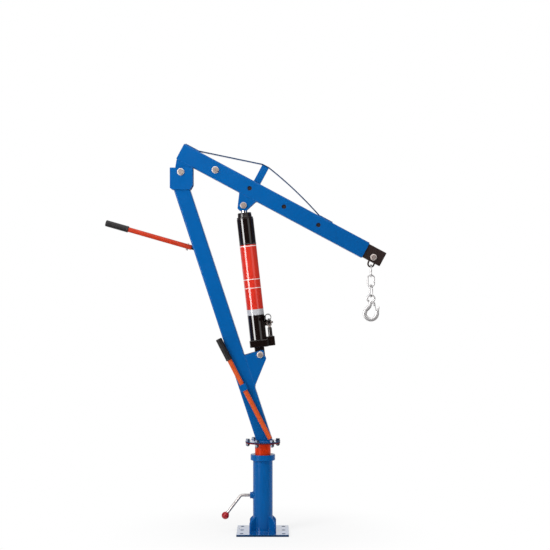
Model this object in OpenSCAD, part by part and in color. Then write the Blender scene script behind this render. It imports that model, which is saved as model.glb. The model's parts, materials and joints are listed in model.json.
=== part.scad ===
// Hydraulic swivel crane: a bolted-down post, a leaning mast that turns on a spigot,
// a boom lifted by a long hand-pumped ram, a sliding extension, and a hook on a short chain.
// Frame: millimetres, +Z up, +X towards the hook, origin under the base plate on the post's axis.

/* [Base] */
// Side of the square base plate
plate_side = 200; // [190:5:240]
// Thickness of the base plate
plate_t = 8; // [6:1:14]
// Bolt hole spacing across the plate, along X
hole_pitch_x = 160; // [150:5:165]
// Bolt hole spacing from end to end of a row, along Y
hole_pitch_y = 150; // [140:5:160]
// Diameter of the six bolt holes
plate_hole_d = 14; // [10:1:18]
// Outer diameter of the post tube
post_d = 76; // [74:1:84]
// Wall of the post tube
post_wall = 4; // [3:0.5:6]
// Height of the post's top rim above the floor
post_top = 301; // [280:1:340]
// Outer diameter of the collar around the post's top
collar_d = 95; // [90:1:110]
// Height of the collar
collar_h = 21.5; // [14:0.5:30]
// Height of the four gussets
gusset_h = 61; // [50:1:100]
// Reach of the gussets from the post's axis
gusset_r = 69; // [60:1:80]
// Height of the gussets' outer edges
gusset_edge = 34; // [15:1:40]
// Thickness of the gussets
gusset_t = 8; // [5:1:10]

/* [Lock lever] */
// Height of the clamping screw above the floor
lever_z = 142.6; // [110:1:200]
// Diameter of the lever's round rod
lever_d = 11; // [9:0.5:14]
// How far the rod runs straight out from the post's axis before its bend
lever_bend_x = 84.5; // [75:1:110]
// Sideways run of the bent arm, from the bend to the ball
lever_arm_x = 60.5; // [40:0.5:80]
// Drop of the bent arm, from the bend to the ball
lever_arm_z = 78.6; // [50:0.5:85]
// Diameter of the ball
ball_d = 29; // [20:1:36]
// Size of the welded nut across its flats
boss_af = 22; // [19:1:28]
// Thickness of the welded nut
boss_t = 11.5; // [8:0.5:16]

/* [Spigot and flanges] */
// Outer diameter of the spigot tube
spigot_d = 61; // [56:0.5:63]
// Wall of the spigot tube
spigot_wall = 5; // [3:0.5:8]
// Height of the flange's underside above the floor
flange_z = 345; // [330:1:380]
// Diameter of the spigot flange and of the mast's foot plate
flange_d = 134; // [130:1:150]
// Thickness of each of the two plates
flange_t = 4; // [3:0.5:8]
// Bolt circle diameter of the flange
flange_pcd = 117; // [114:1:120]
// Diameter of the flange bolts
flange_bolt_d = 10; // [8:1:12]

/* [Mast] */
// Lean of the mast from upright, in degrees
mast_lean = 18.2; // [12:0.1:20]
// Width of the square mast tube
mast_w = 60; // [56:1:66]
// Wall of the mast tube
mast_wall = 4; // [3:0.5:6]
// Distance of the mast's axis from the post's axis at the foot plate
mast_foot_x = 7.3; // [0:0.1:12]
// Length of the mast tube along its axis
mast_len = 1030; // [980:1:1040]
// Distance of the boom pivot beyond the mast's end, along the mast
pivot_up = 56.4; // [54:0.1:74]
// Distance of the boom pivot from the mast's axis, towards the boom
pivot_side = 17.5; // [10:0.1:20]
// Thickness of the two cheek plates
cheek_t = 6; // [4:0.5:10]
// Ram's lower pin to the left of the post's axis
ram_pin_x = -10.4; // [-16:0.1:0]
// Ram's lower pin above the floor
ram_pin_z = 687.2; // [675:0.1:692]
// Thickness of the two ram bracket plates
bracket_t = 6; // [4:0.5:8]
// Diameter of the pivot bolts
pivot_d = 14; // [12:1:18]

/* [Boom] */
// Droop of the boom below level in its lowest position, in degrees
boom_droop = 28.1; // [20:0.1:30]
// Width of the boom tube, across the crane
boom_w = 54; // [50:1:55]
// Height of the boom tube
boom_h = 66; // [58:1:68]
// Wall of the boom tube
boom_wall = 4; // [2.5:0.5:4]
// Underside of the boom tube above the line through its pivot
boom_rise = 36.4; // [34:0.1:44]
// Rear end of the boom tube behind the pivot
boom_back = 40; // [32:1:44]
// Front end of the boom tube ahead of the pivot
boom_front = 770; // [740:5:790]
// Distance from the pivot to the locking bolt of the extension
lock_u = 113; // [105:1:125]
// Spacing of the locking holes
lock_pitch = 150; // [120:5:160]
// Diameter of the locking holes
lock_hole_d = 17; // [14:0.5:19]
// Distance from the pivot to the ram's upper pin
ram_top_u = 273; // [262:1:285]
// Distance from the ram's upper pin to the front foot of the tension strap
strap_reach = 275; // [240:1:300]
// Height of the tension strap's top above the boom
strap_rise = 74.6; // [60:0.1:90]
// Width of the tension strap
strap_w = 30; // [20:1:40]
// Thickness of the tension strap
strap_t = 4; // [3:0.5:6]

/* [Extension] */
// Wall of the extension tube
ext_wall = 3; // [2.5:0.5:4]
// Tip of the extension ahead of the pivot, pushed in
ext_tip = 846; // [835:1:900]
// Distance of the chain bolt behind the extension's tip
chain_bolt_back = 37; // [30:1:40]
// Diameter of the chain bolt
chain_bolt_d = 14; // [10:0.5:15]

/* [Chain and hook] */
// Diameter of the chain's wire
wire_d = 6; // [5:0.5:6]
// Length of a chain link, outside
link_l = 51; // [46:0.5:60]
// Width of a chain link, outside
link_w = 31; // [28:0.5:36]
// Outer diameter of the hook's eye
eye_d = 35; // [32:0.5:40]
// Thickness of the hook's body
hook_t = 16; // [12:0.5:18]
// Inner radius of the hook's bowl
bowl_r = 15.5; // [14:0.5:20]

/* [Ram] */
// Outer diameter of the ram's barrel
barrel_d = 65; // [60:1:70]
// Height of the ram's head nut
head_h = 24; // [16:1:30]
// Length of bare rod from the head nut to the upper pin, ram closed
rod_show = 27.3; // [26:0.1:40]
// Diameter of the chromed rod
rod_d = 24; // [20:0.5:28]
// Bore that the ram's piston runs in
bore_d = 40; // [36:1:46]
// Distance of the pump's axis from the ram's axis
pump_h = 48; // [46:0.5:52]
// Outer diameter of the pump handle socket
socket_d = 26; // [24:0.5:28]
// Length of the pump handle socket
socket_len = 78; // [60:1:100]

/* [Handles] */
// Diameter of the handle tubes
handle_d = 19; // [16:0.5:20]
// Diameter of the rubber grips
grip_d = 25; // [21:0.5:26]
// Length of each rubber grip
grip_len = 91; // [70:1:110]
// Length of the push handle's bare tube
push_len = 254; // [200:1:300]
// Rise of the push handle above level, in degrees
push_rise = 16; // [10:0.5:20]
// Height of the push handle's root above the floor
push_z = 1098; // [1000:1:1150]
// Length of the stowed pump handle with its grip
stow_len = 431; // [415:1:440]
// Lean of the stowed handle from upright, in degrees
stow_lean = 27.3; // [26.8:0.1:27.6]

/* [Fits] */
// Radial running clearance of pins and rods
fit = 0.08; // [0.05:0.01:0.1]
// Gap left between parts that only rest on each other
rest_gap = 0.3; // [0.2:0.05:0.5]
// Gap on each side of the sliding extension
slide_gap = 0.5; // [0.3:0.1:1]

/* [Hidden] */
$fn = 48;

// colours of the finishes
blue = [0.0, 0.36, 0.66];
orange = [0.86, 0.28, 0.12];
black = [0.1, 0.09, 0.09];
zinc = [0.75, 0.76, 0.78];

// small cutting overlap, so that a cut runs past the face it opens
cut = 1;

// --- post and base ---
collar_z = post_top - collar_h;
gusset_cut = 6;  // corner cut off each gusset
lever_rod_end = spigot_d / 2 + rest_gap;
boss_x = post_d / 2 + boss_t;
lever_arm = sqrt(lever_arm_x * lever_arm_x + lever_arm_z * lever_arm_z);
lever_turn = atan2(lever_arm_z, lever_arm_x);

// --- mast, in the plane of the lean ---
foot_z = flange_z + 2 * flange_t;
mast_half = mast_w / 2;
// the mast's right-hand and left-hand face at a height
function mast_right(z) =
    mast_foot_x - (z - foot_z) * tan(mast_lean) + mast_half / cos(mast_lean);
function mast_left(z) = mast_right(z) - mast_w / cos(mast_lean);
// the boom pivot, reached up the mast and then across it
pivot_reach = mast_len + pivot_up;
pivot_x = mast_foot_x - pivot_reach * sin(mast_lean) + pivot_side * cos(mast_lean);
pivot_z = foot_z + pivot_reach * cos(mast_lean) + pivot_side * sin(mast_lean);
// how far the cheek plates reach from the pivot
cheek_front = 46;
cheek_back = 42;
cheek_top = 16.5;
cheek_drop = 68;
bracket_drop = 126;  // from the ram's lower pin down to the bracket's foot

// --- bolts ---
bolt_nut_t = 0.62;  // thickness of a head or nut, per diameter
function head_af(d) = 1.5 * d;
pivot_hole_r = pivot_d / 2 + fit;

// --- boom ---
boom_mid = boom_rise + boom_h / 2;
boom_top = boom_rise + boom_h;
lug_t = 6;
ram_lug_t = 5;
lug_r = 24;
lug_front = 32;
lug_back = 36;
strut_back = ram_top_u - 10;
strut_front = ram_top_u + 18;
strut_w = 25;
strap_bend = 22;  // where the strap leaves the boom, ahead of the pivot
strap_foot = ram_top_u + strap_reach;
strap_seat = 58;  // length of the strap's front end that lies on the boom
strap_bow = 6;  // how far the strap's long front span bows outwards

// --- extension: it fills the boom tube but for the sliding gap ---
ext_w = boom_w - 2 * (boom_wall + slide_gap);
ext_h = boom_h - 2 * (boom_wall + slide_gap);
bolt_u = ext_tip - chain_bolt_back;
chain_bolt_drop = 9.3;  // below the middle of the tube
bolt_v = boom_mid - chain_bolt_drop;
ext_back = lock_u - 9;
hanger_wire = 6.5;
hanger_r = chain_bolt_d / 2 + 1 + hanger_wire / 2;
hanger_tilt = 9.76;
hanger_len = 26.3;
// place in the row's frame of a point given along and across the boom
function boom_pt(u, v) = [
    pivot_x + u * cos(boom_droop) + v * sin(boom_droop),
    pivot_z - u * sin(boom_droop) + v * cos(boom_droop)
];
hanger_u = bolt_u + hanger_len * sin(hanger_tilt);
hanger_v = bolt_v - 0.7 - hanger_len * cos(hanger_tilt);
hanger_pt = boom_pt(hanger_u, hanger_v);

// --- chain: wire centres, hanging plumb below the hanger link ---
chain_x = hanger_pt[0];
link_c = link_l - wire_d;
link_r = (link_w - wire_d) / 2;
link_step = wire_d + rest_gap;
link_twist = 26;  // the last link hangs twisted by this angle
link1_top = hanger_pt[1] - hanger_r + hanger_wire / 2 + wire_d / 2 + rest_gap;
link2_top = link1_top - link_c + link_step;
link3_top = link2_top - link_c + link_step;
eye_wire = 7;
eye_r = (eye_d - eye_wire) / 2;
eye_z = link3_top - link_c + wire_d / 2 + eye_wire / 2 + rest_gap - eye_r;
bowl_z = eye_z - 57.5;
latch_x = chain_x + 11.5;
latch_z = eye_z - 17;
latch_pin_r = 2.5;
latch_lean = 8;
hook_side = 13;

// --- ram: w runs up its axis from the lower pin, h across it to the right ---
ram_top = boom_pt(ram_top_u, 0);
ram_dx = ram_top[0] - ram_pin_x;
ram_dz = ram_top[1] - ram_pin_z;
ram_len = sqrt(ram_dx * ram_dx + ram_dz * ram_dz);
ram_tilt = atan2(-ram_dx, ram_dz);
// the closed ram fills the length between its pins
head_top = ram_len - rod_show;
barrel_top = head_top - head_h;
base_top = 57;
ram_eye_r = 19;
block_w = barrel_d + 5;
block_d = barrel_d - 1;
block_low = 30;
eye_half = mast_half - bracket_t - 1;
rod_eye_half = boom_w / 2 - ram_lug_t - 2;
piston_w = base_top + 17;
pump_pin_w = 118;
// the pump's block beside the foot, and its barrel and plunger up the pump's axis
pump_block_h = 20;
pump_block_l = 43;
pump_block_w = 28;
pump_block_low = 29;
pump_block_top = 66;
pump_barrel_r = 8.3;
pump_barrel_top = 100;
plunger_r = 5;
plunger_low = 60;
plunger_top = 107;
// the bracket on the barrel's side, and the fork it ends in
bracket_low = 107;
bracket_high = 147;
bracket_in = barrel_d / 2 - 12;
bracket_l = 17;
bracket_w = 24;
fork_h = 20;
fork_slot = 18;
fulcrum_y = 28;
fork_y = 21;
socket_w = 140.6;
socket_h = pump_h - 2;
socket_back = 8;
rocker_t = 8;
pump_pin_r = 3;

// --- handles ---
push_root = [mast_left(push_z), push_z];
push_gap = 7;
grip_end = 5;  // closed end of a grip
bolt_head_h = 0.85 * flange_bolt_d;
stow_d = handle_d - 1;
// the stowed handle's foot leans on the head of a flange bolt
stow_foot = [28, foot_z + bolt_head_h + rest_gap + stow_d / 2 * sin(stow_lean)];
stow_y = -(mast_half + grip_d / 2 + 2);
clip_along = 222;
clip_len = 26;
clip_t = 3;

// ---------------------------------------------------------------- helpers

// children drawn in the XZ plane as XY, extruded evenly about Y = 0
module across(w) {
    rotate([90, 0, 0]) translate([0, 0, -w / 2]) linear_extrude(w) children();
}

// children drawn in the XZ plane, as two plates whose outer faces are w apart
module plate_pair(w, t) {
    for (side = [-1, 1])
        translate([0, side * (w - t) / 2, 0]) across(t) children();
}

// a round bar along Y, centred
module bar_y(r, w) {
    rotate([90, 0, 0]) cylinder(r = r, h = w, center = true);
}

// a hexagon prism standing on Z = 0
module hex_prism(af, h) {
    cylinder(d = af / cos(30), h = h, $fn = 6);
}

// a through bolt along Y with its head in front and its nut behind
module bolt_y(d, grip) {
    head = bolt_nut_t * d;
    bar_y(d / 2, grip + cut);
    for (side = [-1, 1])
        translate([0, side * (grip + head) / 2, 0])
            rotate([90, 0, 0]) translate([0, 0, -head / 2]) hex_prism(head_af(d), head);
    translate([0, grip / 2 + head + 1.5, 0]) bar_y(d / 2, 3);
}

// moves the boom's own frame, u ahead and v up, to its lowest position
module on_boom() {
    translate([pivot_x, 0, pivot_z]) rotate([0, boom_droop, 0]) children();
}

// moves the ram's own frame, h ahead and w up, to the lower pin
module on_ram() {
    translate([ram_pin_x, 0, ram_pin_z]) rotate([0, -ram_tilt, 0]) children();
}

// a chain link standing in the XZ plane, its top wire at the origin
module chain_link(c, r, wire) {
    for (side = [-1, 1])
        translate([side * r, 0, -c + r]) cylinder(d = wire, h = c - 2 * r);
    translate([0, 0, -r]) rotate([90, 0, 0])
        rotate_extrude(angle = 180) translate([r, 0]) circle(d = wire, $fn = 24);
    translate([0, 0, -c + r]) rotate([90, 0, 0]) rotate([0, 0, 180])
        rotate_extrude(angle = 180) translate([r, 0]) circle(d = wire, $fn = 24);
}

// a tube along Z
module pipe(d, wall, h) {
    difference() {
        cylinder(d = d, h = h);
        translate([0, 0, -cut]) cylinder(d = d - 2 * wall, h = h + 2 * cut);
    }
}

// a rectangular tube along X, from x0 to x1, centred on the axis
module box_tube(x0, x1, w, h, wall) {
    difference() {
        translate([x0, -w / 2, -h / 2]) cube([x1 - x0, w, h]);
        translate([x0 - cut, wall - w / 2, wall - h / 2])
            cube([x1 - x0 + 2 * cut, w - 2 * wall, h - 2 * wall]);
    }
}

// ---------------------------------------------------------------- base

module base_plate() {
    color(blue) difference() {
        translate([-plate_side / 2, -plate_side / 2, 0])
            cube([plate_side, plate_side, plate_t]);
        for (x = [-1, 1], y = [-1, 0, 1])
            translate([x * hole_pitch_x / 2, y * hole_pitch_y / 2, -cut])
                cylinder(d = plate_hole_d, h = plate_t + 2 * cut);
    }
}

module post_tube() {
    color(blue) difference() {
        translate([0, 0, plate_t]) pipe(post_d, post_wall, collar_z - plate_t);
        translate([0, 0, lever_z]) rotate([0, -90, 0])
            cylinder(r = lever_d / 2 + fit, h = post_d);
    }
}

// bored to guide the spigot, its lower outer edge chamfered down to the post
module post_collar() {
    color(blue) rotate_extrude() polygon([
        [spigot_d / 2 + fit, collar_z],
        [collar_d / 2 - 1.5, collar_z],
        [collar_d / 2, collar_z + 1.5],
        [collar_d / 2, post_top - 1.5],
        [collar_d / 2 - 1.5, post_top],
        [spigot_d / 2 + fit, post_top]
    ]);
}

module post_gussets() {
    seat = post_d / 2 - 0.5;
    color(blue) difference() {
        for (turn = [45:90:315])
            rotate([0, 0, turn]) across(gusset_t) polygon([
                [seat, plate_t],
                [gusset_r, plate_t],
                [gusset_r, plate_t + gusset_edge],
                [gusset_r - gusset_cut, plate_t + gusset_edge + gusset_cut + 2],
                [seat, plate_t + gusset_h]
            ]);
        cylinder(d = post_d, h = post_top);
    }
}

module lock_nut() {
    color(blue) difference() {
        translate([-boss_x, 0, lever_z]) rotate([0, 90, 0])
            hex_prism(boss_af, boss_t + 6);
        translate([-boss_x - cut, 0, lever_z]) rotate([0, 90, 0])
            cylinder(r = lever_d / 2 + fit, h = 2 * boss_x);
        cylinder(d = post_d, h = post_top);
    }
}

// places the children at the rod's bend, with +Z down the bent arm
module on_lever_arm() {
    translate([-lever_bend_x, 0, lever_z]) rotate([0, -90 - lever_turn, 0]) children();
}

// a screw through the nut, a knuckle at the bend, and the arm down to the ball
module lock_lever_rod() {
    color(zinc) {
        translate([-lever_bend_x, 0, lever_z]) rotate([0, 90, 0])
            cylinder(d = lever_d, h = lever_bend_x - lever_rod_end);
        translate([-lever_bend_x, 0, lever_z]) sphere(d = lever_d + 1);
        on_lever_arm() cylinder(d = lever_d, h = lever_arm - ball_d / 2 + 4);
    }
}

module lock_lever_ball() {
    color([0.8, 0.05, 0.06]) on_lever_arm() difference() {
        translate([0, 0, lever_arm]) sphere(d = ball_d);
        cylinder(d = lever_d, h = lever_arm - ball_d / 2 + 4);
    }
}

// ---------------------------------------------------------------- mast

// places the children at each of the six flange bolts
module at_flange_bolts() {
    for (i = [0:5])
        rotate([0, 0, 8 + 60 * i]) translate([flange_pcd / 2, 0, 0]) children();
}

// one of the two round plates that are bolted together
module flange_disc() {
    difference() {
        cylinder(d = flange_d, h = flange_t);
        at_flange_bolts() translate([0, 0, -cut])
            cylinder(r = flange_bolt_d / 2 + 0.5, h = flange_t + 2 * cut);
    }
}

module spigot() {
    color(orange) translate([0, 0, plate_t + rest_gap])
        pipe(spigot_d, spigot_wall, flange_z - plate_t - rest_gap);
}

module spigot_flange() {
    color(orange) translate([0, 0, flange_z]) difference() {
        flange_disc();
        translate([0, 0, -cut]) cylinder(d = spigot_d - 2 * spigot_wall, h = flange_t + 2 * cut);
    }
}

module mast_foot_plate() {
    color(blue) translate([0, 0, flange_z + flange_t]) flange_disc();
}

module flange_bolts() {
    nut = 0.7 * flange_bolt_d;
    color(zinc) at_flange_bolts() {
        translate([0, 0, foot_z]) hex_prism(head_af(flange_bolt_d), bolt_head_h);
        translate([0, 0, flange_z - nut]) hex_prism(head_af(flange_bolt_d), nut);
        translate([0, 0, flange_z - nut - 5])
            cylinder(d = flange_bolt_d, h = 2 * flange_t + nut + 5 + 0.5);
    }
}

module mast_tube() {
    inner = mast_w - 2 * mast_wall;
    color(blue) difference() {
        translate([mast_foot_x, 0, foot_z]) rotate([0, -mast_lean, 0])
            translate([-mast_half, -mast_half, -mast_w]) cube([mast_w, mast_w, mast_len + mast_w]);
        translate([mast_foot_x, 0, foot_z]) rotate([0, -mast_lean, 0])
            translate([-inner / 2, -inner / 2, -2 * mast_w])
                cube([inner, inner, mast_len + 3 * mast_w]);
        translate([-flange_d, -flange_d, foot_z - 2 * mast_w])
            cube([2 * flange_d, 2 * flange_d, 2 * mast_w]);
    }
}

module mast_cheeks() {
    color(blue) difference() {
        plate_pair(mast_w + 2 * cheek_t, cheek_t) translate([pivot_x, pivot_z]) polygon([
            [-cheek_back, cheek_top],
            [cheek_front, cheek_top],
            [cheek_front, 18 - cheek_drop],
            [cheek_front - 10, -cheek_drop],
            [11 - cheek_back, -cheek_drop],
            [-cheek_back, 6 - cheek_drop]
        ]);
        translate([pivot_x, 0, pivot_z]) bar_y(pivot_hole_r, 2 * mast_w);
    }
}

module ram_bracket() {
    color(blue) difference() {
        plate_pair(mast_w, bracket_t) polygon([
            [mast_right(ram_pin_z - 2), ram_pin_z - 2],
            [mast_right(ram_pin_z - bracket_drop), ram_pin_z - bracket_drop],
            [ram_pin_x + 23.5, ram_pin_z - 16],
            [ram_pin_x + 16.6, ram_pin_z - 2],
            [ram_pin_x + 15, ram_pin_z + 14],
            [ram_pin_x + 8, ram_pin_z + 18.5]
        ]);
        translate([ram_pin_x, 0, ram_pin_z]) bar_y(pivot_hole_r, 2 * mast_w);
    }
}

module boom_pivot_bolt() {
    color(zinc) translate([pivot_x, 0, pivot_z]) bolt_y(pivot_d, mast_w + 2 * cheek_t);
}

module ram_lower_bolt() {
    color(zinc) translate([ram_pin_x, 0, ram_pin_z]) bolt_y(pivot_d, mast_w);
}

// ---------------------------------------------------------------- handles

// moves children whose handle runs along +Z to the push handle's root
module on_push_handle() {
    translate([push_root[0], 0, push_root[1]]) rotate([0, push_rise - 90, 0]) children();
}

module push_handle_socket() {
    color(black) difference() {
        on_push_handle() translate([0, 0, -mast_half])
            cylinder(d = handle_d - 4, h = mast_half + 60);
        translate([mast_foot_x, 0, foot_z]) rotate([0, -mast_lean, 0])
            translate([-mast_half, -mast_w, -mast_w]) cube([2 * mast_w, 2 * mast_w, mast_len + mast_w]);
        on_push_handle() translate([0, 0, push_gap + 16])
            rotate([0, 90, 0]) cylinder(d = 6.2, h = 2 * handle_d, center = true);
    }
}

module push_handle_tube() {
    color(orange) difference() {
        on_push_handle() translate([0, 0, push_gap])
            pipe(handle_d, 2 - fit, push_len + grip_len - grip_end);
        on_push_handle() translate([0, 0, push_gap + 16])
            rotate([0, 90, 0]) cylinder(d = 6.2, h = 2 * handle_d, center = true);
    }
}

// a hand grip with a closed end, slid over the last stretch of a tube
module grip(tube_d) {
    difference() {
        cylinder(d = grip_d, h = grip_len);
        translate([0, 0, -cut]) cylinder(d = tube_d, h = grip_len - grip_end + cut);
    }
}

module push_handle_grip() {
    color(black) on_push_handle() translate([0, 0, push_gap + push_len]) grip(handle_d);
}

module push_handle_pin() {
    color(zinc) on_push_handle() translate([0, 0, push_gap + 16]) rotate([0, 90, 0]) {
        cylinder(d = 6, h = handle_d + 6, center = true);
        translate([0, 0, -handle_d / 2 - 6]) cylinder(d = 9, h = 5);
    }
}

// moves children along +Z from the stowed handle's lower end
module on_stowed_handle() {
    translate([stow_foot[0], stow_y, stow_foot[1]]) rotate([0, -stow_lean, 0]) children();
}

module stowed_handle_tube() {
    color(orange) on_stowed_handle() pipe(stow_d, 2, stow_len - grip_end);
}

module stowed_handle_grip() {
    color(black) on_stowed_handle() translate([0, 0, stow_len - grip_len]) grip(stow_d);
}

// a square loop around the stowed handle, welded to the mast's front face
module stowage_loop() {
    inner = stow_d + 2;
    outer = inner + 2 * clip_t;
    color(blue) difference() {
        on_stowed_handle() translate([-outer / 2, -outer / 2, clip_along - clip_len / 2])
            cube([outer, outer / 2 - stow_y - mast_half, clip_len]);
        on_stowed_handle() translate([-inner / 2, -inner / 2, 0])
            cube([inner, inner, stow_len]);
        translate([-2 * stow_len, -mast_half, 0]) cube([4 * stow_len, mast_w, 4 * stow_len]);
    }
}

// ---------------------------------------------------------------- boom

module boom_tube() {
    color(blue) on_boom() difference() {
        translate([0, 0, boom_mid]) box_tube(-boom_back, boom_front, boom_w, boom_h, boom_wall);
        translate([lock_u, 0, boom_mid]) bar_y(pivot_hole_r, 2 * boom_w);
        for (i = [1:3])
            translate([lock_u + i * lock_pitch, 0, boom_mid]) bar_y(lock_hole_d / 2, 2 * boom_w);
    }
}

module boom_pivot_lugs() {
    color(blue) on_boom() difference() {
        plate_pair(boom_w, lug_t) hull() {
            circle(r = lug_r);
            translate([-lug_back, boom_rise - lug_t]) square([lug_back + lug_front, lug_t]);
        }
        bar_y(pivot_hole_r, 2 * boom_w);
    }
}

module boom_ram_lugs() {
    color(blue) on_boom() plate_pair(boom_w, ram_lug_t) translate([ram_top_u, 0]) polygon([
        [-39, boom_rise],
        [-15, -21],
        [-3, -24],
        [19, -13],
        [37, boom_rise]
    ]);
}

module boom_strut() {
    color(blue) on_boom() translate([strut_back, -strut_w / 2, boom_top])
        cube([strut_front - strut_back, strut_w, strap_rise - strap_t]);
}

// a flat bar bent over the strut, its two ends lying on the boom
module tension_strap() {
    low = boom_top;
    high = boom_top + strap_rise - strap_t;
    long = strap_foot - strut_front;
    path = [
        [-lug_back, low], [strap_bend, low], [strut_back, high],
        [strut_front, high],
        for (t = [0.25, 0.5, 0.75])
            [strut_front + long * t, high + (low - high) * t + 4 * strap_bow * t * (1 - t)],
        [strap_foot, low], [strap_foot + strap_seat, low]
    ];
    color(blue) on_boom() across(strap_w) polygon(concat(
        path,
        [for (i = [len(path) - 1:-1:0]) path[i] + [0, strap_t]]
    ));
}

module boom_lock_bolt() {
    color(zinc) on_boom() translate([lock_u, 0, boom_mid]) bolt_y(pivot_d, boom_w);
}

// only the bolt's two ends, outside the lugs
module ram_upper_bolt() {
    head = bolt_nut_t * pivot_d;
    color(zinc) on_boom() translate([ram_top_u, 0, 0]) for (side = [-1, 1])
        translate([0, side * (boom_w + head) / 2, 0])
            rotate([90, 0, 0]) translate([0, 0, -head / 2]) hex_prism(head_af(pivot_d), head);
}

// ---------------------------------------------------------------- extension

module extension_tube() {
    slot_back = bolt_u - hanger_r - hanger_wire;
    slot_front = hanger_u + hanger_r + hanger_wire;
    color(black) on_boom() difference() {
        translate([0, 0, boom_mid]) box_tube(ext_back, ext_tip, ext_w, ext_h, ext_wall);
        translate([lock_u, 0, boom_mid]) bar_y(pivot_hole_r + 0.3, 2 * boom_w);
        translate([ext_back - cut, -boom_w, boom_mid - pivot_hole_r - 0.3])
            cube([lock_u - ext_back + cut, 2 * boom_w, 2 * pivot_hole_r + 0.6]);
        translate([bolt_u, 0, bolt_v]) bar_y(chain_bolt_d / 2 + fit, 2 * boom_w);
        translate([slot_back, -hanger_wire, boom_mid - ext_h])
            cube([slot_front - slot_back, 2 * hanger_wire, ext_h]);
    }
}

module chain_bolt() {
    color(zinc) on_boom() translate([bolt_u, 0, bolt_v]) bolt_y(chain_bolt_d, ext_w);
}

module hanger_link() {
    color(zinc) on_boom() translate([hanger_u, 0, hanger_v]) rotate([0, -hanger_tilt, 0])
        translate([0, 0, -hanger_r])
            translate([0, 0, hanger_len + 2 * hanger_r])
                chain_link(hanger_len + 2 * hanger_r, hanger_r, hanger_wire);
}

// ---------------------------------------------------------------- chain and hook

module chain_link_upper() {
    color(zinc) translate([chain_x, 0, link1_top]) rotate([0, 0, 90])
        chain_link(link_c, link_r, wire_d);
}

module chain_link_middle() {
    color(zinc) translate([chain_x, 0, link2_top]) chain_link(link_c, link_r, wire_d);
}

module chain_link_lower() {
    color(zinc) translate([chain_x, 0, link3_top]) rotate([0, 0, 90 - link_twist])
        chain_link(link_c, link_r, wire_d);
}

// a round eye on a flat-sided forging: shank, bowl and a tip that leans outwards
module load_hook() {
    color(zinc) {
        translate([chain_x, 0, eye_z]) rotate([90, 0, 0])
            rotate_extrude() translate([eye_r, 0]) circle(d = eye_wire, $fn = 24);
        translate([chain_x, 0, bowl_z]) across(hook_side) {
            difference() {
                circle(r = bowl_r + hook_t);
                circle(r = bowl_r);
                square(2 * bowl_r + 2 * hook_t);
            }
            polygon([
                [-bowl_r, bowl_r - 4],
                [2, bowl_r - 1],
                [4, bowl_r + hook_t],
                [4, eye_z - eye_r - bowl_z],
                [-8, eye_z - eye_r - bowl_z],
                [-9, bowl_r + hook_t - 2]
            ]);
            polygon([
                [bowl_r, 0],
                [bowl_r + 7, 12],
                [bowl_r + 11.5, 26],
                [bowl_r + 15, 29],
                [bowl_r + 19, 26],
                [bowl_r + 18, 12],
                [bowl_r + hook_t, 0]
            ]);
        }
        translate([latch_x - 13, -2.5, latch_z - 4]) cube([13, 5, 8]);
        translate([latch_x, 0, latch_z]) bar_y(latch_pin_r, 18);
    }
}

// a strip from the pin beside the shank to the inside of the hook's tip
module hook_latch() {
    reach = 31;
    color(zinc) translate([latch_x, 0, latch_z]) rotate([0, 180 - latch_lean, 0]) difference() {
        union() {
            for (side = [-1, 1])
                translate([0, side * 5.5, 0]) {
                    bar_y(latch_pin_r + 2, 3);
                    translate([-4.5, -1.5, 0]) cube([7, 3, 12]);
                }
            translate([-4.5, -7, 7]) cube([2.5, 14, reach - 7]);
        }
        bar_y(latch_pin_r + fit, 40);
    }
}

// ---------------------------------------------------------------- ram

// the cast foot: eye, main block and the pump's block and barrel
module ram_base() {
    color(black) on_ram() difference() {
        union() {
            bar_y(ram_eye_r, 2 * eye_half);
            translate([-ram_eye_r, -eye_half, 0])
                cube([2 * ram_eye_r, 2 * eye_half, block_low + 2]);
            translate([-block_w / 2, -block_d / 2, block_low])
                cube([block_w, block_d, base_top - block_low]);
            difference() {
                translate([pump_block_h, -pump_block_w / 2, pump_block_low])
                    cube([pump_block_l, pump_block_w, pump_block_top - pump_block_low]);
                translate([0, 0, base_top]) cylinder(d = barrel_d, h = barrel_top);
            }
            translate([pump_h, 0, plunger_low])
                cylinder(r = pump_barrel_r, h = pump_barrel_top - plunger_low);
        }
        bar_y(pivot_hole_r, 3 * mast_w);
        translate([pump_h, 0, plunger_low - 10]) cylinder(r = plunger_r + fit, h = plunger_top);
    }
}

module ram_barrel() {
    color(black) on_ram() translate([0, 0, base_top])
        difference() {
            cylinder(d = barrel_d, h = barrel_top - base_top);
            translate([0, 0, -cut]) cylinder(d = bore_d, h = barrel_top - base_top + 2 * cut);
        }
}

module ram_head_nut() {
    color(black) on_ram() rotate_extrude() polygon([
        [rod_d / 2 + fit, barrel_top],
        [barrel_d / 2 - 1, barrel_top],
        [barrel_d / 2 - 1, barrel_top + 6],
        [barrel_d / 2 - 5, barrel_top + 10],
        [barrel_d / 2 - 6.5, head_top - 3],
        [barrel_d / 2 - 9, head_top],
        [rod_d / 2 + fit, head_top]
    ]);
}

// a block on the barrel's side, with a fork around the rocker's fulcrum
module pump_bracket() {
    color(black) on_ram() difference() {
        union() {
            translate([bracket_in, fork_y, bracket_low])
                cube([bracket_l, bracket_w, bracket_high - bracket_low]);
            translate([bracket_in, fork_y, bracket_low])
                cube([pump_h + 9 - bracket_in, bracket_w, fork_h]);
        }
        cylinder(d = barrel_d, h = barrel_top);
        translate([pump_h - rocker_t / 2 - 1, fork_y - cut, 0])
            cube([rocker_t + 2, fork_slot + cut, barrel_top]);
        translate([pump_h, fulcrum_y, pump_pin_w]) rotate([0, 90, 0])
            cylinder(r = pump_pin_r + 1 + fit, h = 2 * bracket_w, center = true);
    }
}

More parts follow.
